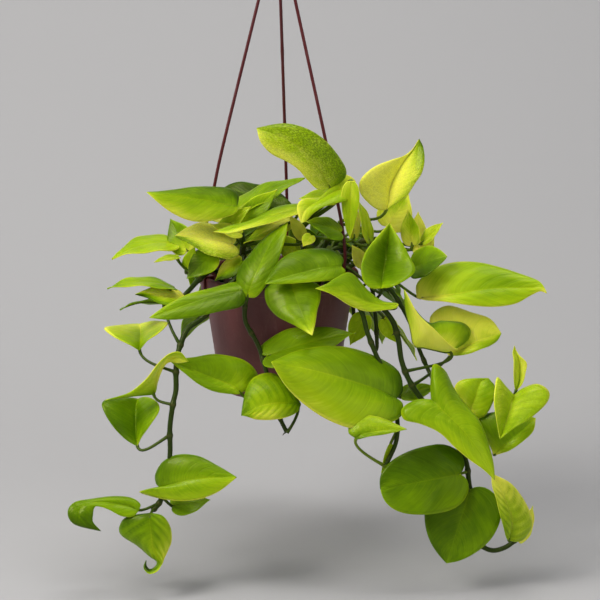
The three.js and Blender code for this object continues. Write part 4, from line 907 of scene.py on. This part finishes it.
class Nodes:
    """Adds nodes to one tree. A value in it is a number, a colour or another node's output."""

    def __init__(self, tree):
        self.tree = tree

    def fill(self, sockets, values):
        for key, value in values.items():
            if isinstance(value, bpy.types.NodeSocket):
                self.tree.links.new(value, sockets[key])
            else:
                sockets[key].default_value = value

    def add(self, kind, values=None, **settings):
        """The outputs of a new node with these settings and values."""
        made = self.tree.nodes.new("ShaderNode" + kind)
        for key, value in settings.items():
            setattr(made, key, value)
        self.fill(made.inputs, values or {})
        return made.outputs

    def calc(self, operation, *values, clamp=False):
        return self.add("Math", dict(enumerate(values)), operation=operation, use_clamp=clamp)[0]

    def times(self, *values):
        """The product of two or more values."""
        product = values[0]
        for value in values[1:]:
            product = self.calc("MULTIPLY", product, value)
        return product

    def raised(self, value, by, share=1.0, clamp=False):
        """A value raised by a share of another one."""
        return self.calc("MULTIPLY_ADD", by, share, value, clamp=clamp)

    def varied(self, value, pattern, reach, clamp=False):
        """A value moved up and down by a pattern that is a half on the average."""
        return self.raised(value, self.calc("SUBTRACT", pattern, 0.5), reach, clamp)

    def step(self, value, low, high, start=0.0, end=1.0):
        """A smooth step of a value, from start at low to end at high."""
        return self.add("MapRange", {"Value": value, "From Min": low, "From Max": high, "To Min": start,
                                     "To Max": end}, interpolation_type="SMOOTHSTEP")[0]

    def blend(self, share, first, second, kind="MIX"):
        return self.add("Mix", {0: share, 6: first, 7: second}, data_type="RGBA", blend_type=kind)[2]

    def scale(self, value, stops):
        """The colour at a value on a scale of colours, each given with its place."""
        made = self.add("ValToRGB", {0: value})[0]
        marks = made.node.color_ramp.elements
        while len(marks) < len(stops):
            marks.new(0.5)
        for mark, (place, shade) in zip(marks, stops):
            mark.position = place
            mark.color = colour(*shade)
        return made

    def grain(self, place, scale, detail=2.0, rough=0.5):
        return self.add("TexNoise", {"Vector": place, "Scale": scale, "Detail": detail,
                                     "Roughness": rough})[0]

    def cells(self, place, scale):
        return self.add("TexVoronoi", {"Vector": place, "Scale": scale})["Distance"]

    def stretched(self, place, across, along):
        return self.add("Mapping", {"Vector": place, "Scale": (across, across, along)})[0]

    def bump(self, height, strength, distance):
        return self.add("Bump", {"Height": height, "Strength": strength, "Distance": distance})[0]

    def own_place(self):
        return self.add("TexCoord")["Object"]

    def painted(self):
        """The four numbers that paint() gave the points: three in a colour, and the last by itself."""
        look = self.add("Attribute", attribute_name="leaf_look", attribute_type="GEOMETRY")
        return self.add("SeparateColor", {0: look["Color"]}), look["Alpha"]


def group(name, inputs, outputs):
    """An empty node group with named sockets: its nodes, what it is given and what it puts out."""
    tree = bpy.data.node_groups.new(name, "ShaderNodeTree")
    for label, kind, value in inputs:
        made = tree.interface.new_socket(label, in_out="INPUT", socket_type="NodeSocket" + kind)
        if value is not None:
            made.default_value = value
    for label, kind in outputs:
        tree.interface.new_socket(label, in_out="OUTPUT", socket_type="NodeSocket" + kind)
    return Nodes(tree), tree.nodes.new("NodeGroupInput").outputs, tree.nodes.new("NodeGroupOutput").inputs


def material(name):
    """A new material, its nodes and the inputs of its shader."""
    made = bpy.data.materials.new(name)
    made.use_nodes = True
    shader = next(n for n in made.node_tree.nodes if n.type == "BSDF_PRINCIPLED")
    return made, Nodes(made.node_tree), shader.inputs


# Tones above 1 are paler than a leaf's own colour: they paint light onto leaves that lie in shade. Each
# leaf's tone and lean were fitted to how bright it looks, so they hold painted light and shade besides its
# own colour.
LEAF_TONES = [(0, (40, 68, 1)), (0.25, (78, 112, 1)), (0.5, (122, 156, 4)), (0.75, (168, 194, 20)),
              (1, (232, 240, 76)), (1.25, (255, 255, 96))]
PALEST = LEAF_TONES[-1][0]
STEM_TONES = [(0, (22, 34, 6)), (0.2, (38, 60, 8)), (0.5, (82, 108, 14)), (0.85, (142, 164, 44))]
CREAM = colour(236, 236, 104)
DARK_SPECK = colour(66, 90, 4)
UNDERSIDE_BLOOM = colour(178, 200, 80)
JOINT_BROWN = colour(74, 72, 34)
PORE_GREY = colour(134, 140, 78)
DUST = colour(138, 102, 98)
SCUFF = colour(158, 116, 112)
BACKDROP_GREY = colour(186, 185, 186)


def leaf_pattern():
    """The blade's pattern: midrib, side veins, fine streaks, pale margin, mottling and dark centre."""
    n, given, out = group(
        "pothos_leaf_pattern",
        [("UV", "Vector", None), ("Tone", "Float", 0.5), ("Mottling", "Float", 0.0), ("Seed", "Float", 0.0),
         ("Shade", "Float", 0.0), ("Vein", "Float", 0.12)],
        [("Color", "Color"), ("Height", "Float"), ("Gloss", "Float")])
    apart = n.add("SeparateXYZ", {0: given["UV"]})
    across = n.calc("ABSOLUTE", n.calc("MULTIPLY_ADD", apart["Y"], 2.0, -1.0))
    lean = n.times(n.calc("POWER", across, VEIN_CURVE * MARGIN_CROWDING), VEIN_LEAN)
    moved = n.calc("SUBTRACT", apart["X"], lean)
    number = n.times(given["Seed"], 37.0)
    place = n.add("CombineXYZ", {0: apart["X"], 1: apart["Y"], 2: number})[0]
    flow = n.add("CombineXYZ", {0: n.times(moved, 60.0), 1: n.times(apart["Y"], 4.0), 2: number})[0]
    cloud = n.grain(place, 3.0, 3.0)
    streak = n.grain(flow, 1.0, 3.0, 0.6)
    fleck = n.grain(place, 55.0, 2.0, 0.7)
    patch = n.grain(place, 9.0, 4.0, 0.65)

    wave = n.calc("ABSOLUTE", n.calc("SINE", n.times(n.varied(moved, cloud, 0.05), math.pi * VEIN_COUNT)))
    reach = n.times(n.step(across, 0.02, 0.12), n.step(across, 0.7, 0.98, 1.0, 0.0))
    vein = n.times(n.step(wave, 0.0, 0.2, 1.0, 0.0), reach)
    rib = n.step(across, 0.012, 0.055, 1.0, 0.0)
    margin = n.step(across, 0.93, 0.985)
    tipward = n.step(apart["X"], 0.86, 1.0)
    centre = n.times(n.step(across, 0.2, 0.95, 1.0, -0.6), given["Shade"])

    tone = n.varied(given["Tone"], cloud, 0.5)
    tone = n.varied(tone, streak, 0.24)
    tone = n.raised(tone, vein, given["Vein"])
    tone = n.raised(tone, rib, 0.08)
    tone = n.raised(tone, margin, n.raised(0.06, given["Tone"], 0.22))
    tone = n.raised(tone, tipward, 0.08)
    tone = n.calc("SUBTRACT", tone, n.times(centre, 0.34))
    stops = [(at / PALEST, shade) for at, shade in LEAF_TONES]
    green = n.scale(n.calc("DIVIDE", tone, PALEST, clamp=True), stops)
    creamy = n.times(n.step(patch, 0.42, 0.62), n.step(tone, 0.5, 0.9), 0.4, given["Mottling"])
    specks = n.times(n.step(fleck, 0.44, 0.54), given["Mottling"], n.step(given["Tone"], 0.6, 1.05, 0.7, 0.2))
    swell = n.raised(n.times(n.calc("SUBTRACT", wave, vein), 0.5), streak, 0.35)
    n.fill(out, {"Color": n.blend(specks, n.blend(creamy, green, CREAM), DARK_SPECK),
                 "Height": n.raised(swell, fleck, 0.08),
                 "Gloss": n.varied(n.times(streak, 0.1), patch, 0.24)})
    return n.tree


LEAF_PATTERN = leaf_pattern()


def leaf_material(name, paleness, vein, roughness, relief, bloom):
    """A side of the blades: the pattern, waxed, and paler with stronger veins where it is the underside."""
    made, n, shader = material(name)
    look, shade = n.painted()
    uv = n.add("UVMap", uv_map="UVMap")[0]
    tone = n.raised(paleness * 0.7, look["Red"], 1 - paleness)
    drawn_on = n.add("Group", {"UV": uv, "Tone": tone, "Mottling": look["Green"], "Seed": look["Blue"],
                               "Shade": shade, "Vein": vein}, node_tree=LEAF_PATTERN)
    n.fill(shader, {
        "Base Color": n.blend(bloom, drawn_on["Color"], UNDERSIDE_BLOOM),
        "Roughness": n.calc("ADD", drawn_on["Gloss"], roughness),
        "Normal": n.bump(drawn_on["Height"], 0.5, relief),
        "Specular IOR Level": 0.32, "Specular Tint": (1.0, 1.0, 0.2, 1.0), "Subsurface Weight": 0.42,
        "Subsurface Scale": 0.003, "Subsurface Radius": (0.7, 1.0, 0.04), "Coat Weight": 0.06,
        "Coat Roughness": 0.12})
    return made


LEAF_TOP = leaf_material("pothos_blade_waxy", paleness=0.0, vein=0.035, roughness=0.36, relief=0.0004,
                         bloom=0.0)
LEAF_UNDER = leaf_material("pothos_blade_underside", paleness=0.2, vein=0.1, roughness=0.5, relief=0.0006,
                           bloom=0.06)


def stem_material():
    """Green stalks: smooth and pale near the blades, darker with brown rings on the main stem."""
    made, n, shader = material("pothos_stem")
    look = n.painted()[0]
    place = n.own_place()
    streak = n.grain(n.stretched(place, 900.0, 90.0), 1.0, 3.0)
    cloud = n.grain(place, 60.0, 3.0)
    pore = n.cells(place, 520.0)
    tone = n.varied(n.varied(look["Red"], streak, 0.22), cloud, 0.25, clamp=True)
    ringed = n.blend(n.times(n.step(look["Green"], 0.55, 0.95), 0.55), n.scale(tone, STEM_TONES), JOINT_BROWN)
    n.fill(shader, {
        "Base Color": n.blend(n.times(n.step(pore, 0.0, 0.22, 1.0, 0.0), 0.25), ringed, PORE_GREY),
        "Roughness": n.raised(0.3, cloud, 0.2),
        "Normal": n.bump(n.raised(streak, pore, 0.4), 0.35, 0.0003),
        "Specular IOR Level": 0.36, "Specular Tint": (1.0, 1.0, 0.5, 1.0), "Subsurface Weight": 0.1,
        "Subsurface Scale": 0.002})
    return made


STEM = stem_material()


def moulded_pattern():
    """What every moulded plastic piece has: fine grain, faint scuffs, and dust that settles."""
    n, given, out = group(
        "moulded_plastic_pattern",
        [("Place", "Vector", None), ("Base", "Color", None), ("Dust", "Float", 0.3), ("Scuffs", "Float", 0.3),
         ("Grain scale", "Float", 900.0)],
        [("Color", "Color"), ("Height", "Float"), ("Roughness", "Float")])
    place = given["Place"]
    fine = n.grain(place, given["Grain scale"])
    cloud = n.grain(place, 22.0, 4.0, 0.6)
    speck = n.grain(place, 340.0, 3.0, 0.75)
    scuff = n.step(n.grain(n.stretched(place, 160.0, 14.0), 1.0, 5.0, 0.7), 0.56, 0.7)
    upward = n.add("SeparateXYZ", {0: n.add("NewGeometry")["Normal"]})["Z"]
    settled = n.times(n.step(upward, -0.2, 0.9, 0.3, 1.0), n.step(cloud, 0.38, 0.66),
                      n.step(speck, 0.34, 0.66), given["Dust"])
    factor = n.raised(0.45, cloud, 1.1)
    grey = n.add("CombineColor", {0: factor, 1: factor, 2: factor})[0]
    varied = n.blend(0.5, given["Base"], n.blend(1.0, given["Base"], grey, "MULTIPLY"))
    scuffing = n.times(scuff, n.times(given["Scuffs"], 0.5))
    n.fill(out, {"Color": n.blend(scuffing, n.blend(settled, varied, DUST), SCUFF),
                 "Height": n.raised(fine, scuff, 0.3),
                 "Roughness": n.raised(n.raised(n.times(settled, 0.35), cloud, 0.18), scuff, 0.1)})
    return n.tree


MOULDED = moulded_pattern()


def plastic_material(name, base, dust, scuffs, roughness, relief, grain_scale):
    """A moulded plastic of its own colour, dustiness, gloss and grain."""
    made, n, shader = material(name)
    drawn_on = n.add("Group", {"Place": n.own_place(), "Base": colour(*base), "Dust": dust, "Scuffs": scuffs,
                               "Grain scale": grain_scale}, node_tree=MOULDED)
    n.fill(shader, {
        "Base Color": drawn_on["Color"], "Roughness": n.calc("ADD", drawn_on["Roughness"], roughness),
        "Normal": n.bump(drawn_on["Height"], 0.4, relief), "Specular IOR Level": 0.45})
    return made


POT_PLASTIC = plastic_material("pot_maroon_plastic", (98, 45, 44), dust=0.32, scuffs=0.3, roughness=0.38,
                               relief=0.00025, grain_scale=1500.0)
HANGER_PLASTIC = plastic_material("hanger_dark_plastic", (86, 15, 18), dust=0.1, scuffs=0.25, roughness=0.28,
                                  relief=0.0001, grain_scale=1800.0)


def soil_material(name, low, high, roughness, scale):
    """A crumbly stuff between two colours."""
    made, n, shader = material(name)
    place = n.own_place()
    crumb = n.grain(place, scale, 6.0, 0.75)
    fibre = n.cells(place, scale * 1.7)
    n.fill(shader, {
        "Base Color": n.blend(n.step(crumb, 0.35, 0.68), colour(*low), colour(*high)),
        "Roughness": n.raised(roughness, crumb, 0.1),
        "Normal": n.bump(n.raised(crumb, fibre, 0.6), 0.8, 0.0015), "Specular IOR Level": 0.25})
    return made


SOIL = soil_material("potting_soil", (20, 13, 9), (72, 52, 36), roughness=0.85, scale=260.0)
BARK = soil_material("bark_chips", (48, 30, 20), (112, 78, 52), roughness=0.8, scale=420.0)
PERLITE = soil_material("perlite_bits", (176, 172, 164), (226, 224, 218), roughness=0.75, scale=700.0)


# Turned and drawn plastic pieces

def profile(name, outline, closed=False):
    """A chain of edges, or one flat face, through rows of radius and height in millimetres."""
    places = [tuple(p) for p in metres([(radius, 0, height) for radius, height in outline])]
    mesh = bpy.data.meshes.new(name)
    edges = [] if closed else [(k, k + 1) for k in range(len(places) - 1)]
    mesh.from_pydata(places, edges, [tuple(range(len(places)))] if closed else [])
    return placed(name, mesh)


def turned(name, outline, sides):
    """A body spun round the upright axis from an outline that starts and ends on it."""
    def spin():
        bpy.ops.mesh.spin(steps=sides, angle=2 * math.pi, center=(0, 0, 0), axis=(0, 0, 1))
    return edited(profile(name, outline), spin, merge(0.00001), face_outward)


def smoothed(piece, degrees=40):
    only(piece)
    bpy.ops.object.shade_smooth_by_angle(angle=math.radians(degrees))


def outer_radius(height):
    return BASE_RADIUS + TAPER * height


def inner_radius(height):
    return outer_radius(height) - POT_WALL


def build_pot():
    """The tapered pot: a foot ring, a rolled lip, faint moulding lines and five drain holes."""
    outline = [(0, 1.1), (30, 1.1), (31, 0.6), (33, 0.6), (34, 1.1), (50.5, 1.1), (52, 0.1), (53, 0),
               (58.8, 0), (60, 0.3), (60.8, 1), (61.3, 2.1)]
    outline += [(outer_radius(h) + 0.1 * math.sin(h * 0.9), h) for h in np.arange(4, 110, 3.5)]
    outline += [(outer_radius(110.5), 110.5), (outer_radius(111.4) + 0.4, 111.5), (78.6, 112), (81.4, 112),
                (82.1, 112.3), (82.5, 113), (82.5, 119.9), (82.3, 120.9), (81.8, 121.6), (81, 122),
                (78.6, 122), (77.7, 121.7), (77.15, 121), (inner_radius(119), 119)]
    outline += [(inner_radius(h), h) for h in (112, 90, 60, 30, 8)]
    outline += [(inner_radius(5) - 0.4, 5), (inner_radius(4) - 1.6, 3.4), (inner_radius(3) - 3, POT_FLOOR),
                (0, POT_FLOOR)]
    pot = turned("pot_shell", outline, 128)
    drills = []
    for number in range(DRAIN_COUNT):
        angle = 2 * math.pi * number / DRAIN_COUNT
        place = metres((DRAIN_CIRCLE * math.cos(angle), DRAIN_CIRCLE * math.sin(angle), 1.5))[0]
        bpy.ops.mesh.primitive_cylinder_add(vertices=28, radius=DRAIN_RADIUS / 1000, depth=0.012,
                                            location=place)
        drills.append(bpy.context.object)
    drill = joined(drills)
    apply_place(drill)
    apply_modifier(pot, "BOOLEAN", object=drill, operation="DIFFERENCE", solver="EXACT")
    bpy.data.objects.remove(drill)
    smoothed(pot)
    finished(pot, "pot_shell", "pot", POT_PLASTIC)


def build_clip():
    """The clip that grips the lip: its side view given its width, then rounded."""
    top = POT_HEIGHT + CLIP_GAP
    under = LIP_UNDERSIDE - CLIP_GAP
    inside = inner_radius(114) - 0.6
    outside = RIM_RADIUS + CLIP_GAP
    outline = [(inside - 2, top - 8), (inside, top - 8), (inside, top), (outside, top), (outside, under),
               (outside - 2.2, under), (outside - 2.2, under - 2), (outside + 2, under - 2),
               (outside + 2, top + 2), (inside - 2, top + 2)]
    clip = profile("clip", outline, closed=True)
    clip.location.y = -CLIP_WIDTH / 2000
    apply_place(clip)

    def widen():
        bpy.ops.mesh.extrude_region_move(TRANSFORM_OT_translate={"value": (0, CLIP_WIDTH / 1000, 0)})
    edited(clip, widen, face_outward)
    apply_modifier(clip, "BEVEL", width=0.0005, segments=3, limit_method="ANGLE")
    return clip


def build_arm(node, plan_angle):
    """A strand with its moulded nubs, and the clip that hooks over the pot's lip."""
    path = along_route([(radius, 0, height) for radius, height in ARM_ROUTE],
                       np.linspace(0, len(ARM_ROUTE) - 1, 120))
    radii = np.full(len(path), float(ARM_RADIUS))
    for height in ARM_NUBS[node]:
        radii += 0.6 * np.exp(-(((path[:, 2] - height) / 2.5) ** 2))
    radii += 1.3 * np.exp(-(path[:, 2] - path[0, 2]) / 4)
    arm = joined([tube(node, path, radii, 14), build_clip()])
    arm.rotation_euler.z = math.radians(plan_angle)
    apply_place(arm)
    smoothed(arm)
    finished(arm, node + "_strand", node, HANGER_PLASTIC)


def build_hook():
    """The hub that gathers the three strands, and the hook that carries the pot."""
    low, top = HUB_BASE_HEIGHT, HUB_TOP_HEIGHT
    outline = [(0, low + 0.6), (3.4, low + 0.6), (4, low), (10, low), (10.7, low + 0.3), (11, low + 1),
               (11, low + 3.4), (10.6, low + 3.8), (10.6, low + 4.8), (11, low + 5.2), (11, low + 9.4),
               (10.5, low + 10.2), (8.6, low + 12.4), (6.4, low + 15.4), (4.9, top - 2), (3.9, top - 0.8),
               (3, top), (0, top)]
    hub = turned("hub", outline, 64)
    points = [(0, 0, top - 4), (0, 0, top + 4)]
    for angle in np.radians(HOOK_ANGLES):
        points.append((HOOK_BEND_RADIUS * math.cos(angle), 0,
                       HOOK_CENTRE_HEIGHT + HOOK_BEND_RADIUS * math.sin(angle)))
    path = along_route(points, np.linspace(0, len(points) - 1, 110))
    radii = np.full(len(path), float(HOOK_WIRE_RADIUS))
    radii[-7:] = HOOK_END_RADII
    hook = joined([hub, tube("hook", path, radii, 18)])
    smoothed(hook)
    finished(hook, "hook_and_hub", "hook_hub", HANGER_PLASTIC)


# Soil

def soil_rise(radius):
    """How far the soil's crown stands above its edge, at a distance from the middle."""
    return SOIL_CROWN * smooth(74, 40, radius)


def build_soil():
    """Crumbly potting soil with a low crown, perlite bits and bark chips on it."""
    floor = POT_FLOOR + 0.5
    outline = [(0, floor), (inner_radius(3) - 4, floor)]
    outline += [(inner_radius(height) - 0.45, height) for height in (8, 60, 104.6)]
    outline += [(radius, SOIL_EDGE_HEIGHT + soil_rise(radius)) for radius in np.linspace(73.2, 0, 46)]
    soil = turned("soil_body", outline, 150)
    places = points_of(soil)
    for point in places:
        if point[2] * 1000 + SEAT_HEIGHT > 105:
            place = Vector(point) * 1000
            rise = noise.fractal(place * 0.06, 0.8, 2.1, 4) * 1.6 + noise.noise(place * 0.45) * 0.7
            edge_share = smooth(74.5, 68, math.hypot(place.x, place.y))
            point[2] += rise * edge_share / 1000
    move_points(soil, places)
    soil.data.materials.append(SOIL)
    draw = dice(4242)
    bits = [soil]
    for number in range(SOIL_BITS):
        angle, radius = draw(0, 2 * math.pi), 71 * math.sqrt(draw(0, 1))
        bark = number % 3 == 0
        size = draw(1.6, 3.6) if bark else draw(0.7, 1.9)
        place = (radius * math.cos(angle), radius * math.sin(angle),
                 SOIL_EDGE_HEIGHT + 0.4 + float(soil_rise(radius)) + size * 0.1)
        bpy.ops.mesh.primitive_ico_sphere_add(subdivisions=1, radius=size / 1000, location=metres(place)[0],
                                              rotation=(draw(0, 3), draw(0, 3), draw(0, 3)))
        bit = bpy.context.object
        bit.scale = (1, draw(0.35, 0.6), draw(0.25, 0.4)) if bark else (1, draw(0.7, 1), draw(0.6, 0.9))
        apply_place(bit)
        bit.data.materials.append(BARK if bark else PERLITE)
        bits.append(bit)
    whole = joined(bits)
    smoothed(whole, 50)
    finished(whole, "soil_top", "soil")


# Light, floor and camera, in metres in the part's frame

LIGHT_TARGET = (0.02, -0.05, -0.42)
FLOOR_GAP = 0.03
BEND_START, BEND_RADIUS = 0.3, 1.1
CAMERA_PLACE = (0.02204, -2.5176, 0.1499)
CAMERA_DOWN = 12.8


def soft_light(name, place, size, watts, tint):
    data = bpy.data.lights.new(name, "AREA")
    data.shape = "RECTANGLE"
    data.size, data.size_y = size
    data.energy = watts
    data.color = tint
    light = placed(name, data)
    light.location = place
    light.rotation_mode = "QUATERNION"
    light.rotation_quaternion = (Vector(LIGHT_TARGET) - light.location).to_track_quat("-Z", "Y")


def build_stage(floor_height):
    """A pale floor that sweeps up at the back. From behind it is see-through, so it hides nothing."""
    rows = [(-3.5, 0.0), (BEND_START, 0.0)]
    rows += [(BEND_START + BEND_RADIUS * math.sin(a), BEND_RADIUS - BEND_RADIUS * math.cos(a))
             for a in np.linspace(0.1, math.pi / 2, 16)]
    rows.append((BEND_START + BEND_RADIUS, 4.0))
    mesh = bpy.data.meshes.new("backdrop")
    mesh.from_pydata([(x, y, floor_height + z) for y, z in rows for x in (-4, 4)], [],
                     [(2 * k, 2 * k + 1, 2 * k + 3, 2 * k + 2) for k in range(len(rows) - 1)])
    sweep = placed("backdrop", mesh)
    sweep.data.shade_smooth()
    made, n, shader = material("pale_backdrop")
    n.fill(shader, {"Alpha": n.calc("SUBTRACT", 1.0, n.add("NewGeometry")["Backfacing"]),
                    "Base Color": BACKDROP_GREY, "Roughness": 0.9, "Specular IOR Level": 0.2})
    sweep.data.materials.append(made)
    sweep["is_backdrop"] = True


build_pot()
build_soil()
build_hook()
for arm_node, plan_angle in ARM_PLAN_ANGLES.items():
    build_arm(arm_node, plan_angle)
blank = blade_blank()
for vine_number, (vine_name, vine_row) in enumerate(VINES.items()):
    build_vine(vine_name, vine_row, vine_number, blank)
bpy.data.objects.remove(blank)

bpy.context.view_layer.update()
build_stage(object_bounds()[0].z - FLOOR_GAP)
soft_light("window_left", (-1.7, -1.3, 1.3), (1.1, 1.1), 50, (1, 0.98, 0.94))
soft_light("fill_right", (1.9, -1.9, 0.5), (1.6, 1.6), 8, (0.97, 0.98, 1))
soft_light("ceiling", (0.1, -0.3, 1.7), (1.2, 1.0), 23, (1, 0.99, 0.97))
world = bpy.data.worlds.new("studio")
world.use_nodes = True
backing = world.node_tree.nodes["Background"].inputs
backing["Color"].default_value = (0.9, 0.92, 0.95, 1)
backing["Strength"].default_value = 0.25
bpy.context.scene.world = world
bpy.context.scene.view_settings.view_transform = "Standard"

camera = placed("camera", bpy.data.cameras.new("camera"))
camera.data.lens = 150
camera.data.sensor_width = 36
camera.data.clip_end = 30
camera.location = CAMERA_PLACE
camera.rotation_euler = (math.radians(90 - CAMERA_DOWN), 0, 0)
bpy.context.scene.camera = camera

bpy.context.view_layer.update()
